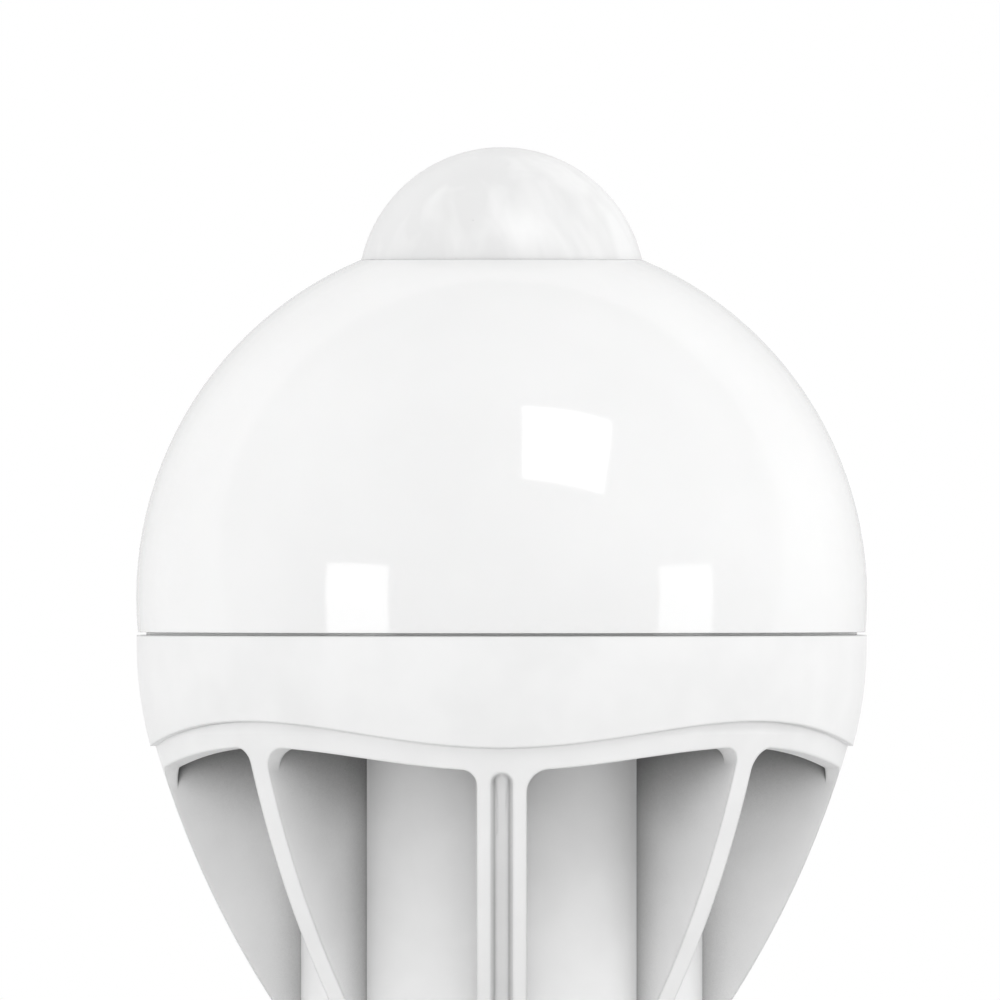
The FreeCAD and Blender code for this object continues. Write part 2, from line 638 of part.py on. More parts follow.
def make_sensor_chip():
    """Flat chip with a row of feet along each side, under the sensor board."""
    body = new_body("sensor_chip")
    face = f"{sensor_under} - foot_thick"
    block = rectangle("chip_length", "chip_width", "0", "-chip_place")
    sketch = outline(body, "chip_outline", block, "XY_Plane", face)
    feature(body, "Pad", "chip_block", sketch, "chip_thick", back=True)
    first = "-chip_length / 2 + chip_length / chip_feet / 2"
    strip = rectangle("foot_width", "chip_width + 2 * foot_reach", first, "-chip_place")
    sketch = outline(body, "chip_foot_outline", strip, "XY_Plane", sensor_under)
    pad = feature(body, "Pad", "chip_foot", sketch, "foot_thick", back=True)
    doc.recompute()
    row = body.newObject("PartDesign::LinearPattern", "chip_feet_row")
    row.Originals = [pad]
    row.Direction = (sketch, ["H_Axis"])
    row.setExpression("Length", bound("chip_length - chip_length / chip_feet"))
    row.setExpression("Occurrences", bound("chip_feet"))
    body.Tip = row
    keep(body, "sensor_chip")


def capacitor(label, radius, height, pin_gap, pin_length):
    """Round can, crimped near its lower end, with a domed vent end and two pins."""
    lower = f"{height} * can_groove_place"
    body = turned(label, [
        ("0", "0"),
        (f"{radius} - can_groove", "0"),
        (radius, "can_groove"),
        (radius, lower),
        (f"{radius} - can_groove", f"{lower} + can_groove"),
        (radius, f"{lower} + 2 * can_groove"),
        (radius, f"{height} - can_groove"),
        (f"{radius} - can_groove", height),
        ("0", height),
    ])
    places = [(f"-{pin_gap} / 2", "0"), (f"{pin_gap} / 2", "0")]
    pins = circles(body, label + "_pin_circles", places, "pin_radius", "0")
    feature(body, "Pad", label + "_pins", pins, pin_length, back=True)
    return body


def place(body, across, back, up, turn=Rotation()):
    """Sets a piece's place from formulas and its turn from a rotation."""
    body.Placement = Placement(Vector(), turn)
    for axis, formula in (("x", across), ("y", back), ("z", up)):
        body.setExpression("Placement.Base." + axis, bound(formula))


def make_capacitors():
    """One under the sensor board, one below the driver board and one on its face."""
    over = Rotation(Vector(1, 0, 0), 180)
    small = capacitor("sensor_capacitor", "small_can_radius", "small_can_height",
                      "small_can_radius", "sensor_board_thick / 2")
    place(small, "0", "small_can_place", f"{sensor_under} - sensor_board_thick / 2", over)
    keep(small, "sensor_capacitor")
    bulk = capacitor("bulk_capacitor", "bulk_radius", "bulk_height", "bulk_radius",
                     "bulk_gap + pin_reach")
    place(bulk, "0", pin_line, f"{driver_low} - bulk_gap", over)
    keep(bulk, "bulk_capacitor")
    out = capacitor("output_capacitor", "out_radius", out_height, "out_radius", "part_stand")
    place(out, "-out_place", f"{driver_face} + part_stand", f"{driver_low} + out_rise",
          Rotation(Vector(1, 0, 0), -90))
    keep(out, "output_capacitor")


# The casting is one piece: rim, wavy collar, lip, fins and tube.
samples_per_wave = 16


def wavy_prism(name, depth, swing, inner, outer, drop):
    """Everything between two radii below a wavy line: the line sits at its depth below the rim,
    lower by its swing at each wide fin and higher by its swing between them."""
    fins = size("fin_pairs")
    samples = samples_per_wave * int(fins)

    def line(radius):
        points = []
        for step in range(samples):
            turn = 2 * math.pi * step / samples
            height = size(f"{seam} - {depth}") - size(swing) * math.cos(fins * turn)
            points.append(Vector(radius * math.cos(turn), radius * math.sin(turn), height))
        curve = Part.BSplineCurve()
        curve.interpolate(Points=points, PeriodicFlag=True)
        return curve.toShape()

    surface = Part.makeRuledSurface(line(size(inner)), line(size(outer)))
    prism = doc.addObject("Part::Feature", name)
    prism.Shape = surface.extrude(Vector(0, 0, -size(drop)))
    return prism


def sector(inner, outer, second=False):
    """Corner list of the space between a wide fin and the narrow fin beside it.
    The second space is the first one mirrored about the narrow fin."""
    half_wide, half_narrow = "wide_fin / 2", "narrow_fin / 2"
    step = "(180 / fin_pairs)"
    points = []
    for radius in (inner, outer):
        along = f"sqrt({radius}^2 - ({half_wide})^2)"
        points.append((along, half_wide))
        along = f"sqrt({radius}^2 - ({half_narrow})^2)"
        points.append((
            f"{along} * cos({step}) + {half_narrow} * sin({step})",
            f"{along} * sin({step}) - {half_narrow} * cos({step})",
        ))
    low_in, high_in, low_out, high_out = points
    if second:
        low_in, high_in, low_out, high_out = (
            (f"({x}) * cos(2 * {step}) + ({y}) * sin(2 * {step})",
             f"({x}) * sin(2 * {step}) - ({y}) * cos(2 * {step})")
            for x, y in points
        )
        return [low_out, high_out + (f"-{outer}",), high_in, low_in + (inner,)]
    return [low_out, high_out + (outer,), high_in, low_in + (f"-{inner}",)]


def window_cutter(name, wave, second):
    """The window between two fins, cut through the lip only, with rounded upper corners."""
    inner, outer = f"({lip_inside} - slip_gap)", f"({collar_radius} + tool_reach)"
    entries = sector(inner, outer, second)
    corners = [Vector(size(entry[0]), size(entry[1]), 0) for entry in entries]
    middle = (corners[0] + corners[1]).normalize()
    edges = [
        Part.Arc(corners[0], middle * size(outer), corners[1]).toShape(),
        Part.LineSegment(corners[1], corners[2]).toShape(),
        Part.Arc(corners[2], middle * size(inner), corners[3]).toShape(),
        Part.LineSegment(corners[3], corners[0]).toShape(),
    ]
    floor = size(f"{foot} - tool_reach")
    block = Part.Face(Part.Wire(edges)).extrude(Vector(0, 0, size(seam) - floor))
    block.translate(Vector(0, 0, floor))
    window = block.common(wave.Shape)
    lowest = size(f"{seam} - window_depth - 2 * window_swing")
    wide, narrow = (corners[1], corners[0]) if second else (corners[0], corners[1])
    for corner, radius in ((wide, "window_corner"), (narrow, "window_small_corner")):
        ridges = []
        for edge in window.Edges:
            radii = [math.hypot(end.X, end.Y) for end in edge.Vertexes]
            flat = Vector(edge.CenterOfMass.x, edge.CenterOfMass.y, 0)
            upper = edge.BoundBox.ZMin > lowest
            radial = max(radii) - min(radii) > size("tool_reach")
            if upper and radial and (flat - corner).Length < 2 * size("lip_wall"):
                ridges.append(edge)
        window = window.makeFillet(size(radius), ridges)
    cutter = doc.addObject("Part::Feature", name)
    cutter.Shape = window
    return cutter


def groove_cutter():
    """Shallow trough that follows the face of a wide fin, with a round upper end."""
    low_end = Vector(size(foot_radius), size(foot), 0)
    high_end = Vector(size(band_radius), size(f"{seam} - wave_depth"), 0)
    face = arc_between(low_end, high_end, size("fin_curve"))
    middle = Vector(face.Center.x, 0, face.Center.y)

    def on_face(height):
        rise = height - middle.z
        return middle + Vector(math.sqrt(face.Radius**2 - rise**2), 0, rise)

    top = on_face(size(f"{seam} - groove_drop - groove_mouth / 2"))
    start = on_face(size(f"{foot} - tool_reach"))
    half_way = on_face((top.z + start.z) / 2)
    depth, reach = size("groove_depth"), size("tool_reach")
    half_floor, half_mouth = size("groove_floor / 2"), size("groove_mouth / 2")
    half_open = half_mouth + (half_mouth - half_floor) * reach / depth
    sideways = Vector(0, 1, 0)

    def trough(place):
        """Corners of one side of the trough at a place on the face, and the way out of the face."""
        out = (place - middle).normalize()
        mouth = place + out * reach + sideways * half_open
        floor_edge = place - out * depth + sideways * half_floor
        return mouth, floor_edge, out

    def closed(points):
        """The points' rounded line, closed by straight runs to its start."""
        line = wire_path(points[:-1], size("groove_round"))
        back = [points[-2], points[-1], points[0]]
        runs = [Part.LineSegment(*pair).toShape() for pair in zip(back, back[1:])]
        return Part.Wire(line.Edges + runs)

    mouth, floor_edge, out = trough(start)
    across = sideways * (2 * half_floor), sideways * (2 * half_open)
    above = start + out * reach
    section = closed([mouth, floor_edge, floor_edge - across[0], mouth - across[1], above])
    path = Part.Wire([Part.Arc(start, half_way, top).toShape()])
    run = path.makePipeShell([section], True, True)
    mouth, floor_edge, out = trough(top)
    half = closed([mouth, floor_edge, top - out * depth, top + out * reach])
    end = Part.Face(half).revolve(top, out, 360)
    cutter = doc.addObject("Part::Feature", "groove_cutter")
    cutter.Shape = run.fuse(end)
    return cutter


def make_casting():
    """Rim and deck for the lighting board, collar with a wavy step, lip, fins and tube."""
    body = turned("casting_body", [
        (core_bore, foot),
        (foot_radius, foot),
        (band_radius, f"{seam} - wave_depth", "fin_curve"),
        (band_radius, deck),
        (core_bore, deck),
    ])
    spaces = []
    for number in (0, 1):
        sketch = outline(body, f"space_outline_{number}",
                         sector("core_radius", lip_inside, second=bool(number)), "XY_Plane", roof)
        spaces.append(feature(body, "Pocket", f"space_{number}", sketch,
                              f"{roof} - {foot} + deck_thick"))
    around(body, "spaces_around", spaces, "fin_pairs")
    holes = circles(body, "casting_screw_circle", [(screw_ring, "0")],
                    "screw_radius + seat_gap", deck)
    drill = feature(body, "Pocket", "casting_screw_hole", holes,
                    "screw_length - light_board_thick + slip_gap")
    around(body, "casting_screw_holes", [drill], "fin_pairs")

    bead = f"({seam} - snap_depth)"
    skin_depth = "(wave_depth + 2 * wave_swing)"
    arc_drop = f"({skin_depth} - collar_straight)"
    skin_inside = f"({band_radius} + {lip_inside}) / 2"
    skin = turned("collar_ring", [
        (f"{collar_radius} - collar_curve + sqrt(collar_curve^2 - {arc_drop}^2)",
         f"{seam} - {skin_depth}"),
        (collar_radius, f"{seam} - collar_straight", "collar_curve"),
        (collar_radius, seam),
        (collar_inside, seam),
        (collar_inside, f"{bead} + snap_half"),
        (f"{collar_inside} + snap_height", bead),
        (collar_inside, f"{bead} - snap_half"),
        (collar_inside, deck),
        (skin_inside, deck),
        (skin_inside, f"{seam} - {skin_depth}"),
    ])
    beyond = f"({collar_radius} + 2 * tool_reach)"
    step = wavy_prism("step_wave", "wave_depth", "wave_swing", "core_radius", beyond, skin_depth)
    collar = doc.addObject("Part::Cut", "collar_skin")
    collar.Base, collar.Tool = skin, step
    whole = doc.addObject("Part::Fuse", "casting_whole")
    whole.Base, whole.Tool = body, collar
    wave = wavy_prism("window_wave", "window_depth", "window_swing", "core_radius", beyond,
                      "foot_depth")
    cutters = [window_cutter(f"window_{number}", wave, bool(number)) for number in (0, 1)]
    cutters.append(groove_cutter())
    turned_cutters = []
    for number in range(int(size("fin_pairs"))):
        for cutter in cutters:
            copy = doc.addObject("Part::Feature", f"{cutter.Name}_{number}")
            copy.Shape = cutter.Shape
            turn = 360 / size("fin_pairs") * number
            copy.Placement = Placement(Vector(), Rotation(Vector(0, 0, 1), turn))
            turned_cutters.append(copy)
    tools = doc.addObject("Part::Compound", "windows_and_grooves")
    tools.Links = turned_cutters
    casting = doc.addObject("Part::Cut", "heat_sink")
    casting.Base, casting.Tool = whole, tools
    keep(casting, "heat_sink")


def make_light_board():
    """Metal-backed board with the light diodes, screwed to the deck."""
    body = new_body("light_board")
    rim = circles(body, "light_board_rim", [("0", "0")], light_board_radius, deck)
    plate = feature(body, "Pad", "light_board_plate", rim, "light_board_thick")
    hole = circles(body, "light_board_middle", [("0", "0")], f"{spigot_radius} + slip_gap", deck)
    feature(body, "Pocket", "light_board_opening", hole, "light_board_thick", back=True)
    hole = circles(body, "light_board_screw", [(screw_ring, "0")], "screw_radius + slip_gap", deck)
    drill = feature(body, "Pocket", "light_board_screw_hole", hole, "light_board_thick", back=True)
    around(body, "light_board_screw_holes", [drill], "fin_pairs")
    holes = circles(body, "light_board_feed", feed_places(), "wire_radius + seat_gap", deck)
    feature(body, "Pocket", "light_board_feed_holes", holes, "light_board_thick", back=True)
    keep(body, "light_board")


def make_diodes():
    """Ring of light diodes, each a white frame round a sunken yellow face."""
    body = new_body("light_diodes")
    half_step = "180 / diode_count"

    def frame(name, inset, lift):
        length, width = f"(diode_length - 2 * {inset})", f"(diode_width - 2 * {inset})"
        corners = [
            (f"({diode_ring} + {a} * {width} / 2) * cos({half_step}) - {b} * {length} / 2 * sin({half_step})",
             f"({diode_ring} + {a} * {width} / 2) * sin({half_step}) + {b} * {length} / 2 * cos({half_step})")
            for a, b in ((-1, -1), (1, -1), (1, 1), (-1, 1))
        ]
        return outline(body, name, corners, "XY_Plane", lift)

    block = feature(body, "Pad", "diode_block", frame("diode_outline", "0", board_top), "diode_thick")
    top = f"{board_top} + diode_thick"
    dip = feature(body, "Pocket", "diode_face", frame("diode_face_outline", "diode_rim", top),
                  "diode_dip")
    around(body, "diodes_around", [block, dip], "diode_count")
    keep(body, "light_diodes")


def make_screws():
    """Cross-headed screws through the lighting board into the wide fins."""
    body = new_body("board_screws")
    centre = [(screw_ring, "0")]
    head = circles(body, "screw_head_circle", centre, "screw_head_radius", board_top)
    head = feature(body, "Pad", "screw_head", head, "screw_head_thick")
    shank = circles(body, "screw_shank_circle", centre, "screw_radius", board_top)
    shank = feature(body, "Pad", "screw_shank", shank, "screw_length", back=True)
    arm, half = "screw_cross_reach", "screw_cross / 2"
    x = screw_ring
    cross = [
        (f"{x} - {arm}", f"-{half}"), (f"{x} - {half}", f"-{half}"), (f"{x} - {half}", f"-{arm}"),
        (f"{x} + {half}", f"-{arm}"), (f"{x} + {half}", f"-{half}"), (f"{x} + {arm}", f"-{half}"),
        (f"{x} + {arm}", half), (f"{x} + {half}", half), (f"{x} + {half}", arm),
        (f"{x} - {half}", arm), (f"{x} - {half}", half), (f"{x} - {arm}", half),
    ]
    sketch = outline(body, "screw_cross_outline", cross, "XY_Plane",
                     f"{board_top} + screw_head_thick")
    slot = feature(body, "Pocket", "screw_cross_cut", sketch, "screw_cross_depth")
    around(body, "screws_around", [head, shank, slot], "fin_pairs")
    keep(body, "board_screws")


def make_sleeve():
    """Insulating sleeve: a tube in the casting, a white cone and neck, and a stub in the shell."""
    brim = "(core_radius - sleeve_brim_inset)"
    brim_top = f"({foot} - seat_gap)"
    body = turned("driver_sleeve", [
        (sleeve_inside, sleeve_top),
        (sleeve_inside, f"{brim_top} - neck_wall"),
        (f"{neck_radius} - neck_wall", f"{neck_height} + neck_wall / 2"),
        (f"{neck_radius} - neck_wall", "shell_top + neck_wall"),
        (stub_bore, "shell_top + neck_wall / 2"),
        (stub_bore, stub_foot),
        (stub_radius, stub_foot),
        (stub_radius, "shell_top + seat_gap"),
        (f"{neck_radius} - neck_chamfer", "shell_top + seat_gap"),
        (neck_radius, "shell_top + neck_chamfer"),
        (neck_radius, neck_height),
        (waist_radius, waist_height, "-neck_curve"),
        (brim, brim_top, "cone_curve"),
        (sleeve_radius, brim_top),
        (sleeve_radius, sleeve_top),
    ])
    for side, name in (("-1", "left"), ("1", "right")):
        inner = f"{side} * ({sleeve_inside} - rail_depth)"
        outer = f"{side} * ({sleeve_inside} + sleeve_wall / 2)"
        for face, end in (("-1", "front"), ("1", "back")):
            near = f"{face} * (driver_thick / 2 + rail_gap)"
            far = f"{face} * (driver_thick / 2 + rail_gap + rail_thick)"
            corners = [(inner, near), (outer, near), (outer, far), (inner, far)]
            sketch = outline(body, f"rail_{name}_{end}", corners, "XY_Plane", driver_low)
            feature(body, "Pad", f"rail_pad_{name}_{end}", sketch,
                    f"{driver_high} - wire_lap - {driver_low}")
    hole = circles(body, "return_hole_circle", [("0", "return_height")],
                   "wire_radius + slip_gap", f"-{stub_radius}", "YZ_Plane")
    feature(body, "Pocket", "return_hole", hole, "2 * stub_wall", back=True)
    keep(body, "driver_sleeve")


def make_driver_board():
    """Upright board in the sleeve's rails, with slots at the top for the wires."""
    body = new_body("driver_board")
    corners = rectangle(driver_width, f"{driver_high} - {driver_low}", "0",
                        f"({driver_high} + {driver_low}) / 2")
    sketch = outline(body, "driver_outline", corners, "XZ_Plane", "-driver_thick / 2")
    feature(body, "Pad", "driver_plate", sketch, "driver_thick")
    keep(body, "driver_board")


def make_transformer():
    """Ferrite core closed round a wound bobbin, standing off the board's back face."""
    middle = f"({driver_low} + {driver_high}) / 2"
    across = f"{core_length} / 2"
    window_width = f"(({core_length} - 3 * {core_leg}) / 2)"
    window_height = "(core_height - 2 * core_yoke)"
    body = new_body("transformer_core")
    sketch = outline(body, "core_outline", rectangle(core_length, "core_height", across, middle),
                     "XZ_Plane", f"-{coil_base}")
    feature(body, "Pad", "core_block", sketch, "core_depth", back=True)
    for side, name in (("-1", "left"), ("1", "right")):
        window = rectangle(window_width, window_height,
                           f"{across} + {side} * ({core_leg} + {window_width}) / 2", middle)
        sketch = outline(body, f"core_window_{name}", window, "XZ_Plane", f"-{coil_base} - core_depth")
        feature(body, "Pocket", f"core_cut_{name}", sketch, "core_depth", back=True)
    keep(body, "transformer_core")

    coil = new_body("transformer_winding")
    room = f"({window_height} - 2 * slip_gap)"
    low = f"{middle} - {room} / 2"
    wide = f"({core_leg} + 2 * {window_width} - 2 * slip_gap)"
    deep = "(core_depth + 2 * coil_proud)"
    centre = f"({coil_base} + core_depth / 2)"
    for name, lift, tall, inset in (
        ("lower_flange", low, "coil_flange", "0"),
        ("turns", f"{low} + coil_flange", f"{room} - 2 * coil_flange", "coil_inset"),
        ("upper_flange", f"{low} + {room} - coil_flange", "coil_flange", "0"),
    ):
        block = rectangle(f"{wide} - {inset}", f"{deep} - 2 * {inset}", across, centre)
        sketch = outline(coil, name, block, "XY_Plane", lift)
        feature(coil, "Pad", name + "_pad", sketch, tall)
    hole = rectangle(f"{core_leg} + 2 * slip_gap", "core_depth + 2 * slip_gap", across, centre)
    sketch = outline(coil, "coil_middle", hole, "XY_Plane", low)
    feature(coil, "Pocket", "coil_bore", sketch, room, back=True)
    keep(coil, "transformer_winding")


def flat_part(label, length, width, rise, feet, across="0"):
    """Moulded chip on the front face of the driver board, with feet above and below."""
    body = new_body(label)
    middle = f"{driver_low} + {rise}"
    block = rectangle(length, width, across, middle)
    sketch = outline(body, label + "_outline", block, "XZ_Plane", f"{driver_face} + foot_thick")
    feature(body, "Pad", label + "_block", sketch, "moulded_thick")
    for number in range(feet):
        shift = f"{across} + {length} * {number + 0.5 - feet / 2} / {feet}"
        strip = rectangle("foot_width", f"{width} + 2 * foot_reach", shift, middle)
        sketch = outline(body, f"{label}_foot_{number}", strip, "XZ_Plane", driver_face)
        feature(body, "Pad", f"{label}_foot_pad_{number}", sketch, "foot_thick")
    keep(body, label)


def make_chips():
    """Flat parts on the front face of the driver board."""
    flat_part("rectifier", "bridge_length", "bridge_width", "bridge_rise", 2)
    flat_part("driver_chip", "driver_chip_length", "driver_chip_width", "driver_chip_rise", 4)
    flat_part("output_diode", "diode_part_width", "diode_part_length", "driver_chip_rise", 1,
              "diode_part_place")


def swept_wire(points, bend, radius):
    """A round wire along a path of formulas."""
    places = [Vector(*(size(formula) for formula in point)) for point in points]
    path = wire_path(places, size(bend))
    ring = Part.Circle(places[0], (places[1] - places[0]).normalize(), size(radius))
    return path.makePipeShell([Part.Wire([ring.toShape()])], True, True)


def make_wires():
    """Wires in the screw base: live to the resistor, neutral out to the screw shell."""
    live = doc.addObject("Part::Feature", "live_lead")
    live.Shape = swept_wire([
        ("0", "0", contact_stem_top),
        ("0", "0", f"{contact_stem_top} + wire_bend"),
        ("0", f"-{fuse_place}", f"{contact_stem_top} + wire_bend"),
        ("0", f"-{fuse_place}", "fuse_low"),
    ], "wire_round", "wire_radius")
    keep(live, "live_lead")
    neutral = doc.addObject("Part::Feature", "neutral_lead")
    neutral.Shape = swept_wire([
        (f"-{return_place}", wire_line, f"{driver_low} + pin_reach"),
        (f"-{return_place}", wire_line, f"{driver_low} - pin_reach"),
        (f"-{return_place}", "0", f"{neck_height} - wire_bend"),
        (f"-{return_place}", "0", "return_height"),
        (f"-({shell_inside} - seat_gap)", "0", "return_height"),
    ], "wire_round", "wire_radius")
    keep(neutral, "neutral_lead")


def straight_wires(label, places, low, high):
    """Upright wires side by side, one solid each."""
    body = new_body(label)
    sketch = circles(body, label + "_circles", places, "wire_radius", low)
    feature(body, "Pad", label + "_rods", sketch, f"({high}) - ({low})")
    keep(body, label)


def make_board_wires():
    """Wires from the driver board up to the sensor board and the lighting board."""
    row = [(across, wire_line) for across in ("-wire_pitch", "0", "wire_pitch")]
    straight_wires("sensor_wires", row, f"{driver_high} - wire_lap", sensor_under)
    straight_wires("light_wires", feed_places(), f"{driver_high} - wire_lap",
                   f"{board_top} + solder_height")


def make_fuse():
    """Fusible resistor in the live line: body with rounded ends and a wire up to the board."""
    body = turned("fuse_body", [
        ("0", "0"),
        ("fuse_radius - fuse_bevel", "0"),
        ("fuse_radius", "fuse_bevel"),
        ("fuse_radius", "fuse_height - fuse_bevel"),
        ("fuse_radius - fuse_bevel", "fuse_height"),
        ("0", "fuse_height"),
    ])
    place(body, "0", f"-{fuse_place}", "fuse_low")
    leg = doc.addObject("Part::Feature", "fuse_leg")
    leg.Shape = swept_wire([
        ("0", f"-{fuse_place}", "fuse_low + fuse_height - fuse_bevel"),
        ("0", f"-{fuse_place}", f"{driver_low} - bulk_gap / 2"),
        ("0", f"-{pin_line}", f"{driver_low} - bulk_gap / 2"),
        ("0", f"-{pin_line}", f"{driver_low} + pin_reach"),
    ], "wire_round", "pin_radius")
    fuse = doc.addObject("Part::Fuse", "fuse_resistor")
    fuse.Base, fuse.Tool = body, leg
    keep(fuse, "fuse_resistor")


def make_shell():
    """Screw shell of thin sheet with a round thread, a plain rim and a rounded lower edge."""
    knee = "(shell_foot + shell_round)"
    shoulder = "(shell_top - shell_rim)"
    body = turned("screw_shell", [
        (shell_foot_radius, "shell_foot"),
        (shell_root, knee, "shell_round"),
        (shell_root, f"{shoulder} - thread_height"),
        ("shell_crest", shoulder),
        ("shell_crest", "shell_top"),
        ("shell_crest - shell_wall", "shell_top"),
        ("shell_crest - shell_wall", f"{shoulder} + shell_wall / 2"),
        (shell_inside, f"{shoulder} - thread_height"),
        (shell_inside, knee),
        (f"{shell_foot_radius} - shell_wall", "shell_foot + shell_wall", "-(shell_round - shell_wall)"),
    ])
    half, flank, crown = (f"{name} * shell_pitch" for name in ("ridge_foot", "ridge_flank", "ridge_crown"))
    ease = "ridge_ease * thread_height"
    buried = f"{shell_inside} + shell_wall / 2"
    first = f"({thread_start} - shell_pitch)"
    sketch = outline(body, "ridge_outline", [
        (buried, f"{first} - {half}"),
        (shell_root, f"{first} - {half}"),
        (f"{shell_root} + {ease}", f"{first} - {flank}"),
        (f"shell_crest - {ease}", f"{first} - {crown}"),
        ("shell_crest", first),
        (f"shell_crest - {ease}", f"{first} + {crown}"),
        (f"{shell_root} + {ease}", f"{first} + {flank}"),
        (shell_root, f"{first} + {half}"),
        (buried, f"{first} + {half}"),
    ])
    ridge = body.newObject("PartDesign::AdditiveHelix", "thread_ridge")
    ridge.Profile = sketch
    ridge.ReferenceAxis = (sketch, ["V_Axis"])
    ridge.Mode = "pitch-turns-angle"
    ridge.setExpression("Pitch", bound("shell_pitch"))
    ridge.setExpression("Turns", bound(f"({shoulder} - {first}) / shell_pitch"))
    # The ridge starts a turn below the thread, and this cut lets it grow out of the plain foot.
    below = f"{first} - shell_pitch / 2"
    groove(body, "thread_run_in", [
        (shell_foot_radius, "shell_foot"),
        (shell_root, knee, "shell_round"),
        ("shell_crest + tool_reach", f"{knee} + thread_fade"),
        ("shell_crest + tool_reach", below),
        (shell_foot_radius, below),
    ])
    keep(body, "screw_shell")


def make_insulator():
    """Black insulating plug between the shell and the centre contact."""
    body = turned("base_insulator", [
        ("insulator_bore", "insulator_foot"),
        ("insulator_foot_radius", "insulator_foot"),
        (f"{shell_foot_radius} - slip_gap", insulator_line),
        (f"{shell_foot_radius} - shell_wall - slip_gap", insulator_line),
        (f"{shell_foot_radius} - shell_wall - slip_gap", insulator_top),
        ("insulator_bore", insulator_top),
    ])
    keep(body, "base_insulator")


def make_contact():
    """Riveted centre contact with a flat tip."""
    seat = "(insulator_foot - seat_gap)"
    body = turned("centre_contact", [
        ("0", "0"),
        ("contact_flat", "0"),
        ("contact_radius", "contact_dome", "contact_round"),
        ("contact_radius", seat),
        ("contact_stem", seat),
        ("contact_stem", contact_stem_top),
        ("0", contact_stem_top),
    ])
    keep(body, "centre_contact")


makers = [
    make_globe, make_lens, make_holder, make_sensor_board, make_sensor_can, make_sensor_pane,
    make_sensor_header, make_sensor_pins, make_daylight_cell, make_sensor_chip, make_capacitors,
    make_casting, make_light_board, make_diodes, make_screws, make_sleeve, make_driver_board,
    make_transformer, make_chips, make_wires, make_board_wires, make_fuse, make_shell,
    make_insulator, make_contact,
]
for maker in makers:
    maker()
    doc.recompute()
    print(maker.__name__)

faults = [item.Label for item in doc.Objects if {"Invalid", "Error"} & set(item.State)]
if faults:
    raise RuntimeError(f"failed: {faults}")
os.makedirs("parts", exist_ok=True)
for node in nodes:
    shape = node.Shape
    if shape.isNull() or not shape.isValid() or not shape.Solids:
        raise RuntimeError(f"{node.Label} is not a valid solid")
    shape.exportStep(f"parts/{node.Label}.step")
    print(node.Label, len(shape.Solids), round(shape.Volume, 2))
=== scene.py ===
import math

import bpy
import numpy as np
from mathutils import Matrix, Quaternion, Vector


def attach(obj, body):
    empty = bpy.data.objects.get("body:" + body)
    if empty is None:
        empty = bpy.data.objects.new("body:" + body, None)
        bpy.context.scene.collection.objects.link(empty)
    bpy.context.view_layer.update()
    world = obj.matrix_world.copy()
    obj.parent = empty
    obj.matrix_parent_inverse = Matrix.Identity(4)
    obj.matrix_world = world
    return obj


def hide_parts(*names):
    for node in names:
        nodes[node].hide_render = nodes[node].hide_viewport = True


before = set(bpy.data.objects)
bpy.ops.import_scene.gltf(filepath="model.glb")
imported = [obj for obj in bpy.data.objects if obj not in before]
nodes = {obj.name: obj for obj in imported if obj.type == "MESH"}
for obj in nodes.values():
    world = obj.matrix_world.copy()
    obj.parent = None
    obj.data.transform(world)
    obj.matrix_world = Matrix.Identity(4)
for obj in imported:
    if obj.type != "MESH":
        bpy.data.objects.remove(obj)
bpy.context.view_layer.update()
mm = 0.001


def linear(colour):
    # sRGB hex to linear: below 0.04045 a straight line, above it a power of 2.4
    parts = np.array([int(colour[i:i + 2], 16) for i in (1, 3, 5)]) / 255
    curve = np.where(parts <= 0.04045, parts / 12.92, ((parts + 0.055) / 1.055) ** 2.4)
    return (*curve.tolist(), 1.0)


def addNode(tree, kind, settings=None, links=None, **properties):
    # settings sets input values by name or number; links maps an input to another node's output
    node = tree.nodes.new(kind)
    for name, value in properties.items():
        setattr(node, name, value)
    for key, value in (settings or {}).items():
        node.inputs[key].default_value = value
    for key, output in (links or {}).items():
        tree.links.new(output, node.inputs[key])
    return node


# camera straight in front; heights are above the contact's tip
cameraSettings = {
    "lens": 1400.0,  # long lens, in mm: the photograph has next to no perspective
    "sensorWidth": 36.0,
    "distance": 3724 * mm,
    "across": -0.163 * mm,
    "height": 91.93 * mm,
    "clip": (0.1, 50.0),  # metres
}


def makeCamera(settings):
    data = bpy.data.cameras.new("camera")
    data.lens = settings["lens"]
    data.sensor_width = settings["sensorWidth"]
    data.clip_start, data.clip_end = settings["clip"]
    camera = bpy.data.objects.new("camera", data)
    camera.location = (settings["across"], -settings["distance"], settings["height"])
    camera.rotation_euler = (math.pi / 2, 0, 0)
    bpy.context.scene.collection.objects.link(camera)
    bpy.context.scene.camera = camera


makeCamera(cameraSettings)
print("camera done")


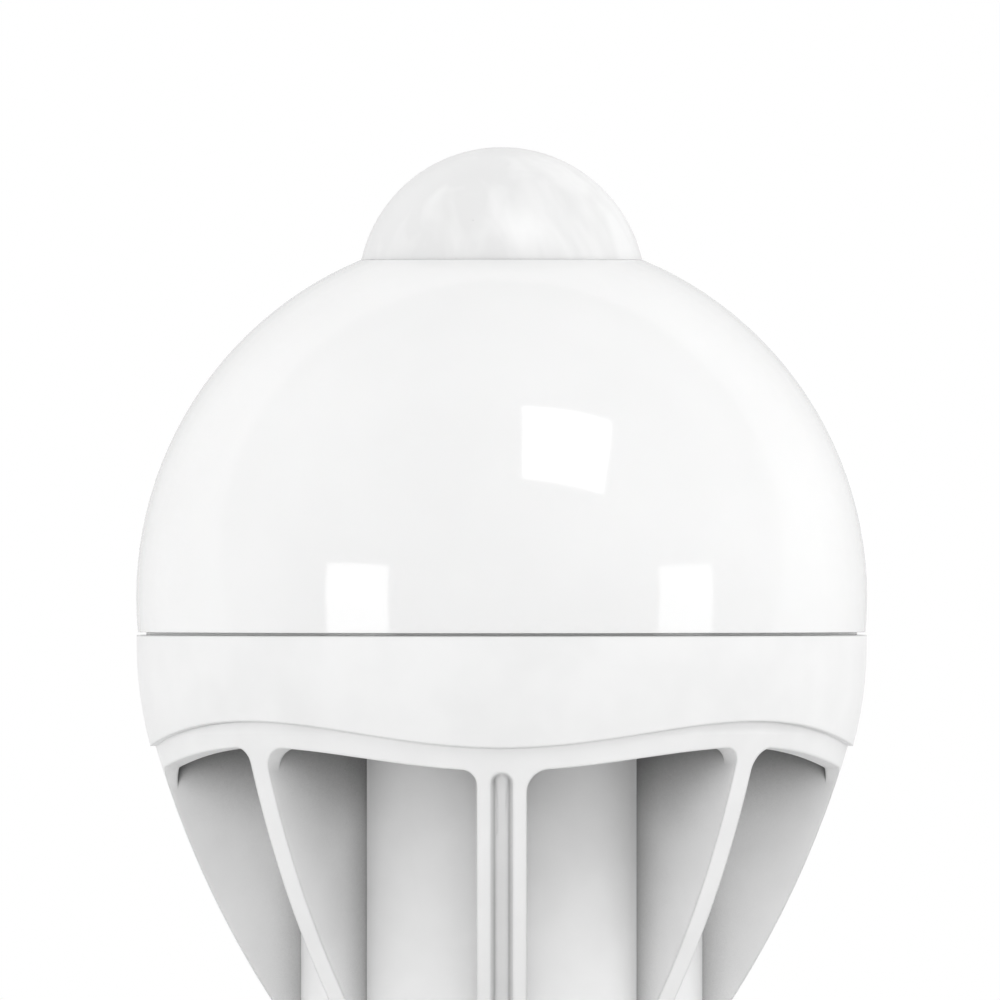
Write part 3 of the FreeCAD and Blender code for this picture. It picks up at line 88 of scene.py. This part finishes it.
# three soft boxes, which the globe mirrors; strengths are against the white backdrop
boxSettings = {
    "centre": (0.0, 0.0, 82.6 * mm),  # the globe's middle, which the boxes are aimed at
    "boxes": {  # turn from the camera's side to the right, rise and roll in degrees
        "keyBox": {"turn": 27.0, "rise": 46.7, "roll": -19.0, "distance": 1000 * mm,
                   "width": 436 * mm, "height": 442 * mm, "strength": 2.5},
        # these two are small and stand near, so that they end above the floor
        "leftBox": {"turn": -44.8, "rise": 0.0, "roll": 0.0, "distance": 400 * mm,
                    "width": 144 * mm, "height": 133 * mm, "strength": 2.0},
        "rightBox": {"turn": 58.2, "rise": 0.0, "roll": 0.0, "distance": 400 * mm,
                     "width": 132 * mm, "height": 120 * mm, "strength": 1.45},
    },
}
tentSettings = {
    "colour": "#ffffff",
    "front": 0.865,  # brightness from each side, against the white backdrop
    "back": 0.5,
    "sides": 1.33,
    "above": 0.95,
    "sweep": 0.3,  # more light from the white sweep, which starts just behind the lamp and leans back
    "sweepEdge": (0.12, 0.17),  # where it starts and is whole, in the share of the direction that points back
    "sweepLean": 0.4,
    "backdrop": "#ffffff",  # what the camera sees behind the lamp
    "contrast": 0.8,  # gamma of the view; below 1 gives the photograph's deeper recesses
}


def makeBoxes(settings):
    # direction = (sin turn * cos rise, -cos turn * cos rise, sin rise), seen from the centre
    centre = Vector(settings["centre"])
    for name, box in settings["boxes"].items():
        turn, rise, roll = (math.radians(box[key]) for key in ("turn", "rise", "roll"))
        toLight = Vector((math.sin(turn) * math.cos(rise), -math.cos(turn) * math.cos(rise), math.sin(rise)))
        data = bpy.data.lights.new(name, "AREA")
        data.shape = "RECTANGLE"
        data.size, data.size_y = box["width"], box["height"]
        data.energy = box["strength"] * math.pi * data.size * data.size_y  # watts that give this radiance
        light = bpy.data.objects.new(name, data)
        light.location = centre + toLight * box["distance"]
        light.rotation_euler = (toLight.to_track_quat("Z", "Y") @ Quaternion((0, 0, 1), roll)).to_euler()
        light.visible_camera = False
        bpy.context.scene.collection.objects.link(light)


def makeTent(settings):
    # brightness = sides * x^2 + (front or back) * y^2 + above * z^2 of the direction looked in, plus the sweep
    # where y - lean * z passes its edge; the camera sees the plain backdrop
    world = bpy.data.worlds.new("white tent")
    world.use_nodes = True
    tree = world.node_tree
    front, back = settings["front"], settings["back"]
    way = addNode(tree, "ShaderNodeTexCoord").outputs["Generated"]
    squares = addNode(tree, "ShaderNodeVectorMath", None, {0: way, 1: way}, operation="MULTIPLY")
    weights = (settings["sides"], (front + back) / 2, settings["above"])
    spread = addNode(tree, "ShaderNodeVectorMath", {1: weights}, {0: squares.outputs["Vector"]},
                     operation="DOT_PRODUCT")
    depth = addNode(tree, "ShaderNodeSeparateXYZ", None, {0: way}).outputs["Y"]
    size = addNode(tree, "ShaderNodeMath", None, {0: depth}, operation="ABSOLUTE").outputs[0]
    signed = addNode(tree, "ShaderNodeMath", None, {0: depth, 1: size}, operation="MULTIPLY").outputs[0]
    walls = addNode(tree, "ShaderNodeMath", {1: (back - front) / 2}, {0: signed, 2: spread.outputs["Value"]},
                    operation="MULTIPLY_ADD")
    behind = addNode(tree, "ShaderNodeVectorMath", {1: (0, 1, -settings["sweepLean"])}, {0: way},
                     operation="DOT_PRODUCT")
    start, whole = settings["sweepEdge"]
    sweep = addNode(tree, "ShaderNodeMapRange",
                    {"From Min": start, "From Max": whole, "To Max": settings["sweep"]},
                    {"Value": behind.outputs["Value"]}, interpolation_type="SMOOTHSTEP")
    total = addNode(tree, "ShaderNodeMath", None, {0: walls.outputs[0], 1: sweep.outputs["Result"]},
                    operation="ADD")
    tent = tree.nodes["Background"]
    tent.inputs["Color"].default_value = linear(settings["colour"])
    tree.links.new(total.outputs[0], tent.inputs["Strength"])
    backdrop = addNode(tree, "ShaderNodeBackground", {"Color": linear(settings["backdrop"]), "Strength": 1.0})
    seen = addNode(tree, "ShaderNodeLightPath").outputs["Is Camera Ray"]
    mix = addNode(tree, "ShaderNodeMixShader", None,
                  {0: seen, 1: tent.outputs["Background"], 2: backdrop.outputs["Background"]})
    tree.links.new(mix.outputs["Shader"], tree.nodes["World Output"].inputs["Surface"])
    bpy.context.scene.world = world


makeBoxes(boxSettings)
makeTent(tentSettings)
bpy.context.scene.view_settings.view_transform = "Standard"
bpy.context.scene.view_settings.gamma = tentSettings["contrast"]
print("lights done")


# materials: each starts from a principled surface, and the next functions add to it; sizes are in mm


def startMaterial(name, colour, roughness, **sockets):
    # plain values on the shader's own sockets
    material = bpy.data.materials.new(name)
    material.use_nodes = True
    material.diffuse_color = linear(colour)
    tree = material.node_tree
    shader = tree.nodes["Principled BSDF"]
    shader.inputs["Base Color"].default_value = linear(colour)
    shader.inputs["Roughness"].default_value = roughness
    for key, value in sockets.items():
        shader.inputs[key].default_value = value
    where = addNode(tree, "ShaderNodeTexCoord").outputs["Object"]
    return material, tree, shader, where


def shades(tree, factor, dark, light, ends):
    # colour runs from dark to light while the factor goes from one end to the other
    ramp = addNode(tree, "ShaderNodeValToRGB", None, {"Fac": factor})
    for element, colour, position in zip(ramp.color_ramp.elements, (dark, light), ends):
        element.position, element.color = position, linear(colour)
    return ramp.outputs["Color"]


def mottle(tree, shader, where, light, dark, size, ends=(0.35, 0.65)):
    # colour drifts between two shades over patches of the given size
    noise = addNode(tree, "ShaderNodeTexNoise", {"Scale": 1 / (size * mm), "Detail": 2.0}, {"Vector": where})
    colour = shades(tree, noise.outputs["Fac"], dark, light, ends)
    tree.links.new(colour, shader.inputs["Base Color"])
    return colour


def grain(tree, shader, where, size, height, soften=0.0, stretch=(1, 1, 1)):
    # raised grain of the given size and height, squeezed by stretch; soften rounds hard edges by that radius
    place = addNode(tree, "ShaderNodeMapping", {"Scale": stretch}, {"Vector": where})
    noise = addNode(tree, "ShaderNodeTexNoise", {"Scale": 1 / (size * mm), "Detail": 3.0},
                    {"Vector": place.outputs["Vector"]})
    bump = addNode(tree, "ShaderNodeBump", {"Distance": height * mm, "Strength": 1.0},
                   {"Height": noise.outputs["Fac"]})
    if soften:
        edge = addNode(tree, "ShaderNodeBevel", {"Radius": soften * mm}, samples=6)
        tree.links.new(edge.outputs["Normal"], bump.inputs["Normal"])
    tree.links.new(bump.outputs["Normal"], shader.inputs["Normal"])


def roughPatches(tree, shader, where, size, low, high):
    # roughness drifts between two values over patches of the given size
    noise = addNode(tree, "ShaderNodeTexNoise", {"Scale": 1 / (size * mm), "Detail": 3.0}, {"Vector": where})
    spread = addNode(tree, "ShaderNodeMapRange", {"To Min": low, "To Max": high},
                     {"Value": noise.outputs["Fac"]})
    tree.links.new(spread.outputs["Result"], shader.inputs["Roughness"])


def paintCreviceShade(tree, shader, where, plain, dark, reach, closed, clear, faces=1.0):
    # painted shade: a darker colour mixed in where walls stand close, within the given reach, in place of the
    # shade that falls there: all of it where the share of open sky falls to closed, none where it is clear.
    # Faces that look round the axis, as the sides of the fins do, get the whole of it, and those that look out,
    # up or down get the share called faces.
    sky = addNode(tree, "ShaderNodeAmbientOcclusion", {"Distance": reach * mm}, samples=12)
    hidden = addNode(tree, "ShaderNodeMapRange", {"From Min": clear, "From Max": closed},
                     {"Value": sky.outputs["AO"]}, interpolation_type="SMOOTHSTEP")
    level = addNode(tree, "ShaderNodeVectorMath", {1: (1, 1, 0)}, {0: where}, operation="MULTIPLY")
    outward = addNode(tree, "ShaderNodeVectorMath", None, {0: level.outputs["Vector"]}, operation="NORMALIZE")
    aroundAxis = addNode(tree, "ShaderNodeVectorMath", {1: (0, 0, 1)}, {0: outward.outputs["Vector"]},
                         operation="CROSS_PRODUCT")
    normal = addNode(tree, "ShaderNodeTexCoord").outputs["Normal"]
    along = addNode(tree, "ShaderNodeVectorMath", None, {0: normal, 1: aroundAxis.outputs["Vector"]},
                    operation="DOT_PRODUCT")
    turned = addNode(tree, "ShaderNodeMath", None, {0: along.outputs["Value"]}, operation="ABSOLUTE")
    share = addNode(tree, "ShaderNodeMapRange", {"To Min": faces, "To Max": 1.0}, {"Value": turned.outputs[0]})
    amount = addNode(tree, "ShaderNodeMath", None, {0: hidden.outputs["Result"], 1: share.outputs["Result"]},
                     operation="MULTIPLY")
    # inputs 6 and 7 of a mix node are its two colours, and output 2 is the mixed one
    # painted shade: the dark colour mixed over the plain one where walls stand close
    shade = addNode(tree, "ShaderNodeMix", {7: linear(dark)}, {0: amount.outputs[0], 6: plain},
                    data_type="RGBA")
    tree.links.new(shade.outputs[2], shader.inputs["Base Color"])


globeFinish = {
    "colour": "#e3e3e3", "light": "#e4e4e4", "dark": "#e2e2e2", "patch": 14,
    "milk": 0.12, "milkDepth": 1.2,  # share of the light that goes in, and how far
    "roughness": 0.07, "low": 0.05, "high": 0.09, "roughPatch": 9,
    "wave": 11, "waveHeight": 0.006,  # slow waves of a moulding, some 6 thousandths deep
    "edge": 0.12,
}


def opalPolycarbonate(finish):
    # opal polycarbonate, blow-moulded and polished: milky, a little light goes in, and it mirrors the boxes
    material, tree, shader, where = startMaterial(
        "opal polycarbonate, moulded", finish["colour"], finish["roughness"], IOR=1.585,
        **{"Subsurface Weight": finish["milk"], "Subsurface Radius": (1.0, 0.95, 0.9),
           "Subsurface Scale": finish["milkDepth"] * mm})
    mottle(tree, shader, where, finish["light"], finish["dark"], finish["patch"])
    roughPatches(tree, shader, where, finish["roughPatch"], finish["low"], finish["high"])
    grain(tree, shader, where, finish["wave"], finish["waveHeight"], soften=finish["edge"])
    return material


domeFinish = {
    "colour": "#d8d8d8", "light": "#e3e3e3", "dark": "#dcdcdc", "ends": (0.42, 0.7),
    "turn": 1.36,  # radians about Y: the streaks run down and to the right
    "length": 5.0, "streak": 3.2, "curl": 0.35,  # times as long as wide, width, and how much they curl
    "from": -7, "to": 11, "paintedLightDrift": 0.12,  # painted light: they grow lighter from left to right
    "foot": "#8c8c8c", "footShadeReach": 0.3, "closed": 0.35, "clear": 0.85,  # painted shade in the joint at its foot
    "milk": 0.15, "milkDepth": 0.9,
    "roughness": 0.3, "low": 0.24, "high": 0.38, "roughPatch": 5,
    "pebble": 1.6, "pebbleHeight": 0.006,
}


def milkyPolyethylene(finish):
    # high-density polyethylene, moulded as a ring of lenses: greyer and duller than the globe, with cloudy
    # streaks, painted light that grows from left to right, and painted shade at its foot
    material, tree, shader, where = startMaterial(
        "milky polyethylene, moulded", finish["colour"], finish["roughness"], IOR=1.54,
        **{"Subsurface Weight": finish["milk"], "Subsurface Radius": (1.0, 1.0, 0.95),
           "Subsurface Scale": finish["milkDepth"] * mm})
    place = addNode(tree, "ShaderNodeMapping",
                    {"Rotation": (0.0, finish["turn"], 0.0), "Scale": (finish["length"], 1.0, 1.0)},
                    {"Vector": where}, vector_type="TEXTURE")
    flow = addNode(tree, "ShaderNodeTexNoise",
                   {"Scale": 1 / (finish["streak"] * mm), "Detail": 2.0, "Distortion": finish["curl"]},
                   {"Vector": place.outputs["Vector"]})
    # painted light: the streaks lighten from left to right across the view
    sideways = addNode(tree, "ShaderNodeSeparateXYZ", None, {0: where}).outputs["X"]
    paintedLightDrift = addNode(tree, "ShaderNodeMapRange",
                    {"From Min": finish["from"] * mm, "From Max": finish["to"] * mm,
                     "To Min": -finish["paintedLightDrift"], "To Max": finish["paintedLightDrift"]}, {"Value": sideways})
    cloud = addNode(tree, "ShaderNodeMath", None, {0: flow.outputs["Fac"], 1: paintedLightDrift.outputs["Result"]},
                    operation="ADD")
    colour = shades(tree, cloud.outputs[0], finish["dark"], finish["light"], finish["ends"])
    # painted shade darkens the joint at the dome's foot
    paintCreviceShade(tree, shader, where, colour, finish["foot"], finish["footShadeReach"], finish["closed"],
             finish["clear"])
    roughPatches(tree, shader, where, finish["roughPatch"], finish["low"], finish["high"])
    grain(tree, shader, where, finish["pebble"], finish["pebbleHeight"])
    return material


coatFinish = {
    "colour": "#e3e3e3", "light": "#e4e4e4", "dark": "#e1e1e1", "patch": 6,
    "paintedRecessShade": "#6e6e6e", "reach": 13, "closed": 0.36, "clear": 0.88,  # painted shade between the fins and on their sides
    "roughness": 0.42, "low": 0.38, "high": 0.48, "roughPatch": 3,
    "peel": 0.9, "peelHeight": 0.004,  # orange peel, a wave each millimetre
    "edge": 0.4,
}


def powderCoat(finish):
    # white polyester powder on die-cast aluminium: satin, very fine orange peel, edges rounded by the coat, and
    # painted shade between the fins and on their sides
    material, tree, shader, where = startMaterial(
        "white powder coat on die-cast aluminium", finish["colour"], finish["roughness"], IOR=1.5)
    colour = mottle(tree, shader, where, finish["light"], finish["dark"], finish["patch"])
    # painted shade darkens the coat between the fins and on their sides
    paintCreviceShade(tree, shader, where, colour, finish["paintedRecessShade"], finish["reach"], finish["closed"], finish["clear"],
             faces=0.0)
    roughPatches(tree, shader, where, finish["roughPatch"], finish["low"], finish["high"])
    grain(tree, shader, where, finish["peel"], finish["peelHeight"], soften=finish["edge"])
    return material


sleeveFinish = {
    "colour": "#dedddb", "light": "#dfdedc", "dark": "#dcdbd9", "patch": 5,
    "roughness": 0.48, "low": 0.42, "high": 0.54, "roughPatch": 2,
    "texture": 0.45, "textureHeight": 0.008,  # coarser than real mould texture, 0.1 mm, which wouldn't show
    "edge": 0.6,
}


def sleevePlastic(finish):
    # white flame-retardant polybutylene, moulded: a shade warmer than the coat, with a faint sparkle of its
    # mould texture
    material, tree, shader, where = startMaterial(
        "white polybutylene, moulded", finish["colour"], finish["roughness"], IOR=1.55)
    mottle(tree, shader, where, finish["light"], finish["dark"], finish["patch"])
    roughPatches(tree, shader, where, finish["roughPatch"], finish["low"], finish["high"])
    grain(tree, shader, where, finish["texture"], finish["textureHeight"], soften=finish["edge"])
    return material


boardFinish = {
    "roughness": 0.35,
    "patch": 1.2,
    "weave": 3.1,  # gives bands 2 mm apart; real threads, 0.5 mm apart, wouldn't show
    "waviness": 0.6, "height": 0.01,
}


def boardLaminate(name, light, dark, finish=boardFinish):
    # glass-fibre laminate under solder mask: glossy, with the weave of the cloth just showing
    material, tree, shader, where = startMaterial(name, light, finish["roughness"], IOR=1.5)
    mottle(tree, shader, where, light, dark, finish["patch"])
    weave = addNode(tree, "ShaderNodeTexWave",
                    {"Scale": 1 / (finish["weave"] * mm), "Distortion": finish["waviness"]}, {"Vector": where},
                    bands_direction="DIAGONAL")
    bump = addNode(tree, "ShaderNodeBump", {"Distance": finish["height"] * mm},
                   {"Height": weave.outputs["Fac"]})
    tree.links.new(bump.outputs["Normal"], shader.inputs["Normal"])
    return material


def metalSurface(name, light, dark, low, high, size, height, stretch=(1, 1, 1), patch=3, edge=0.05):
    # bare metal: its colour is its reflection; roughness drifts and faint marks run the way it was formed,
    # drawn wider than the real ones, which wouldn't show
    material, tree, shader, where = startMaterial(name, light, low, Metallic=1.0)
    mottle(tree, shader, where, light, dark, patch)
    roughPatches(tree, shader, where, size, low, high)
    grain(tree, shader, where, size, height, soften=edge, stretch=stretch)
    return material


def mouldedPart(name, light, dark, roughness, size=0.8, height=0.008, edge=0.08, **sockets):
    # plastic, ceramic or lacquer: two close shades in patches of three grains, roughness from 15 per cent below
    # to 20 per cent above the given one in patches of two, and a grain coarser than the real 0.1 mm
    material, tree, shader, where = startMaterial(name, light, roughness, **sockets)
    mottle(tree, shader, where, light, dark, size * 3)
    roughPatches(tree, shader, where, size * 2, roughness * 0.85, roughness * 1.2)
    grain(tree, shader, where, size, height, soften=edge)
    return material


finishes = {
    "globe": opalPolycarbonate(globeFinish),
    "lens": milkyPolyethylene(domeFinish),
    "coat": powderCoat(coatFinish),
    "sleeve": sleevePlastic(sleeveFinish),
    "nickel": metalSurface("nickel-plated brass, rolled", "#d0cdc7", "#c4c0b8", low=0.16, high=0.3,
                           size=2.2, height=0.0012, stretch=(1, 1, 7)),  # rolling marks run round it
    "contact": metalSurface("nickel-plated brass, stamped", "#d3cdc1", "#c6bfb1", low=0.18, high=0.3,
                            size=1.2, height=0.0012),
    "steel": metalSurface("tinned steel, drawn", "#b9babb", "#aaabad", low=0.25, high=0.4,
                          size=0.6, height=0.003),
    "zinc": metalSurface("zinc-plated steel", "#b4b5b0", "#a2a49c", low=0.3, high=0.45, size=0.5, height=0.004),
    "tin": metalSurface("tinned wire", "#c4c4c1", "#b2b2ae", low=0.3, high=0.45, size=0.4, height=0.003),
    "boardGreen": boardLaminate("glass laminate, green mask", "#2c6b3f", "#24593a"),
    "boardWhite": boardLaminate("aluminium-backed laminate, white mask", "#e9eaea", "#dfe1e1"),
    "insulator": mouldedPart("black vitreous insulator", "#1a1a1c", "#111113", 0.22, size=1.5, height=0.02,
                             IOR=1.52),
    "pillar": mouldedPart("white acrylonitrile plastic, moulded", "#e9e9e6", "#e2e2df", 0.5, IOR=1.53),
    "filter": mouldedPart("infrared filter pane", "#2a2328", "#1f1a1e", 0.08, IOR=1.8),
    "header": mouldedPart("sealing glass", "#54707a", "#486068", 0.15, IOR=1.52),
    "cell": mouldedPart("cadmium cell under lacquer", "#c39a6b", "#a9814f", 0.4),
    "epoxy": mouldedPart("black moulding epoxy", "#222325", "#191a1b", 0.55, size=0.3),
    "canSleeve": mouldedPart("shrunk polyester sleeve", "#20303f", "#182531", 0.28),
    "phosphor": mouldedPart("silicone with phosphor", "#eccb55", "#dcb840", 0.45, size=0.4,
                            **{"Subsurface Weight": 0.1}),
    "ferrite": mouldedPart("sintered ferrite", "#2f3032", "#252628", 0.6, size=0.4, height=0.015),
    "tape": mouldedPart("polyester winding tape", "#d9b13a", "#c79f2c", 0.3, size=1.0),
    "wireRed": mouldedPart("silicone wire cover, red", "#b3241d", "#9c1d18", 0.4),
    "wireBlack": mouldedPart("silicone wire cover, black", "#232323", "#1a1a1a", 0.4),
    "wireWhite": mouldedPart("silicone wire cover, white", "#e4e3de", "#d8d7d1", 0.4),
    "lacquer": mouldedPart("lacquered ceramic resistor", "#7d9a78", "#6a8766", 0.45),
}

nodeFinish = {
    "diffuser_globe": "globe", "sensor_lens": "lens", "heat_sink": "coat", "driver_sleeve": "sleeve",
    "screw_shell": "nickel", "base_insulator": "insulator", "centre_contact": "contact",
    "sensor_holder": "pillar", "sensor_board": "boardGreen", "sensor_can": "steel", "sensor_filter": "filter",
    "sensor_header": "header", "sensor_pins": "tin", "daylight_cell": "cell", "sensor_chip": "epoxy",
    "sensor_capacitor": "canSleeve", "bulk_capacitor": "canSleeve", "output_capacitor": "canSleeve",
    "light_board": "boardWhite", "light_diodes": "phosphor", "board_screws": "zinc",
    "driver_board": "boardGreen", "transformer_core": "ferrite", "transformer_winding": "tape",
    "rectifier": "epoxy", "driver_chip": "epoxy", "output_diode": "epoxy", "live_lead": "wireRed",
    "neutral_lead": "wireBlack", "sensor_wires": "wireWhite", "light_wires": "wireRed",
    "fuse_resistor": "lacquer",
}
for name, finish in nodeFinish.items():
    mesh = nodes[name].data
    mesh.materials.clear()
    mesh.materials.append(finishes[finish])
print("materials done:", len(finishes))


def meshObject(name, points, faces, smooth=True):
    # points is an array of (x, y, z) in metres, faces a list or array of vertex numbers
    mesh = bpy.data.meshes.new(name)
    mesh.from_pydata(points.reshape(-1, 3).tolist(), [], np.asarray(faces).tolist())
    mesh.polygons.foreach_set("use_smooth", np.full(len(mesh.polygons), smooth))
    mesh.update()
    piece = bpy.data.objects.new(name, mesh)
    bpy.context.scene.collection.objects.link(piece)
    return piece


# screw shell: thin sheet rolled into a round thread
shellSettings = {
    "crest": 13.15 * mm,
    "root": 12.1 * mm,
    "pitch": 3.629 * mm,
    "foot": 6.2 * mm,
    "top": 26.6 * mm,
    "footRadius": 10.3 * mm,
    "footRound": 2.0 * mm,
    "firstRidge": 9.4 * mm,  # height of the first ridge's middle, straight out along X
    "growFrom": 0.6,  # the first ridge starts to grow this far up the foot's round
    "growOver": 0.5,  # pitches above that round until it is whole
    "fadeOver": 1 / 3,  # pitches over which the last ridge fades into the rim
    "rim": 2.6 * mm,
    "wall": 0.35 * mm,
    "around": 128,
    "along": 170,
    "dimples": 10,  # punched into the middle of the plain rim to grip the neck
    "dimpleDepth": 0.35 * mm,
    "dimpleRadius": 0.8 * mm,
}


def softStep(value, low, high):
    # 0 below low and 1 above high, and 3 t^2 - 2 t^3 of the way t between them
    share = np.clip((value - low) / (high - low), 0, 1)
    return share * share * (3 - 2 * share)


def makeShell(s):
    # radius = mean + amplitude * cos(2 pi * (height - first ridge) / pitch - angle), right-handed,
    # faded into the rounded foot and the plain rim, with a dent of a cosine bell at each punch mark
    height = np.linspace(s["foot"], s["top"], s["along"])[:, None]
    angle = np.linspace(0, 2 * np.pi, s["around"], endpoint=False)[None, :]
    mean, swing = (s["crest"] + s["root"]) / 2, (s["crest"] - s["root"]) / 2
    wave = mean + swing * np.cos(2 * np.pi * (height - s["firstRidge"]) / s["pitch"] - angle)
    shoulder = s["top"] - s["rim"]
    intoRim = softStep(height, shoulder - s["pitch"] * s["fadeOver"], shoulder)
    outOfFoot = softStep(height, s["foot"] + s["footRound"] * s["growFrom"],
                         s["foot"] + s["footRound"] + s["pitch"] * s["growOver"])
    radius = s["root"] + (wave - s["root"]) * outOfFoot
    radius = radius + (s["crest"] - radius) * intoRim
    drop = np.clip(1 - (height - s["foot"]) / s["footRound"], 0, 1)
    radius = radius - (s["root"] - s["footRadius"]) * (1 - np.sqrt(1 - drop**2))
    punchHeight = s["top"] - s["rim"] / 2
    step = 2 * np.pi / s["dimples"]
    sideways = ((angle + step / 2) % step - step / 2) * s["crest"]
    away = np.sqrt(sideways**2 + (height - punchHeight) ** 2) / s["dimpleRadius"]
    radius = radius - s["dimpleDepth"] * np.where(away < 1, (1 + np.cos(np.pi * away)) / 2, 0)
    outer = np.stack([radius * np.cos(angle), radius * np.sin(angle), height + 0 * angle], -1)
    inner = outer[::-1].copy()
    inner[..., :2] *= 1 - s["wall"] / radius[::-1][..., None]
    # up the outside, down the inside and back to the start: quads between neighbouring rows and columns
    rows = 2 * s["along"]
    row, column = np.arange(rows)[:, None], np.arange(s["around"])[None, :]
    above, beside = (row + 1) % rows, (column + 1) % s["around"]
    corners = [row * s["around"] + column, row * s["around"] + beside,
               above * s["around"] + beside, above * s["around"] + column]
    shell = meshObject("rolled_shell", np.concatenate([outer, inner]), np.stack(corners, -1).reshape(-1, 4))
    shell.data.materials.append(finishes["nickel"])
    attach(shell, "root")
    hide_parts("screw_shell")


makeShell(shellSettings)
print("screw shell done")


floorSettings = {
    "nearRadius": 300 * mm,
    "farRadius": 2600 * mm,
    "around": 96,
    "drop": 0.4 * mm,
    "colour": "#f0f0f0", "dark": "#ededed", "patch": 400, "roughness": 0.9,
}


def makeFloor(settings):
    # flat disc under the lamp, and a flat ring round it that the globe doesn't mirror as a horizon line
    count = settings["around"]
    angle = np.linspace(0, 2 * np.pi, count, endpoint=False)
    rings = [np.stack([radius * np.cos(angle), radius * np.sin(angle), np.full(count, -settings["drop"])], -1)
             for radius in (settings["nearRadius"], settings["farRadius"])]
    step = np.arange(count)
    after = (step + 1) % count
    material, tree, shader, where = startMaterial("matt white paper floor", settings["colour"],
                                                  settings["roughness"])
    mottle(tree, shader, where, settings["colour"], settings["dark"], settings["patch"])
    near = meshObject("floor", rings[0], [list(range(count))], smooth=False)
    far = meshObject("floor_around", np.concatenate(rings),
                     np.stack([step, step + count, after + count, after], -1), smooth=False)
    far.visible_glossy = False
    for floor in (near, far):
        floor.data.materials.append(material)


makeFloor(floorSettings)
print("floor done")
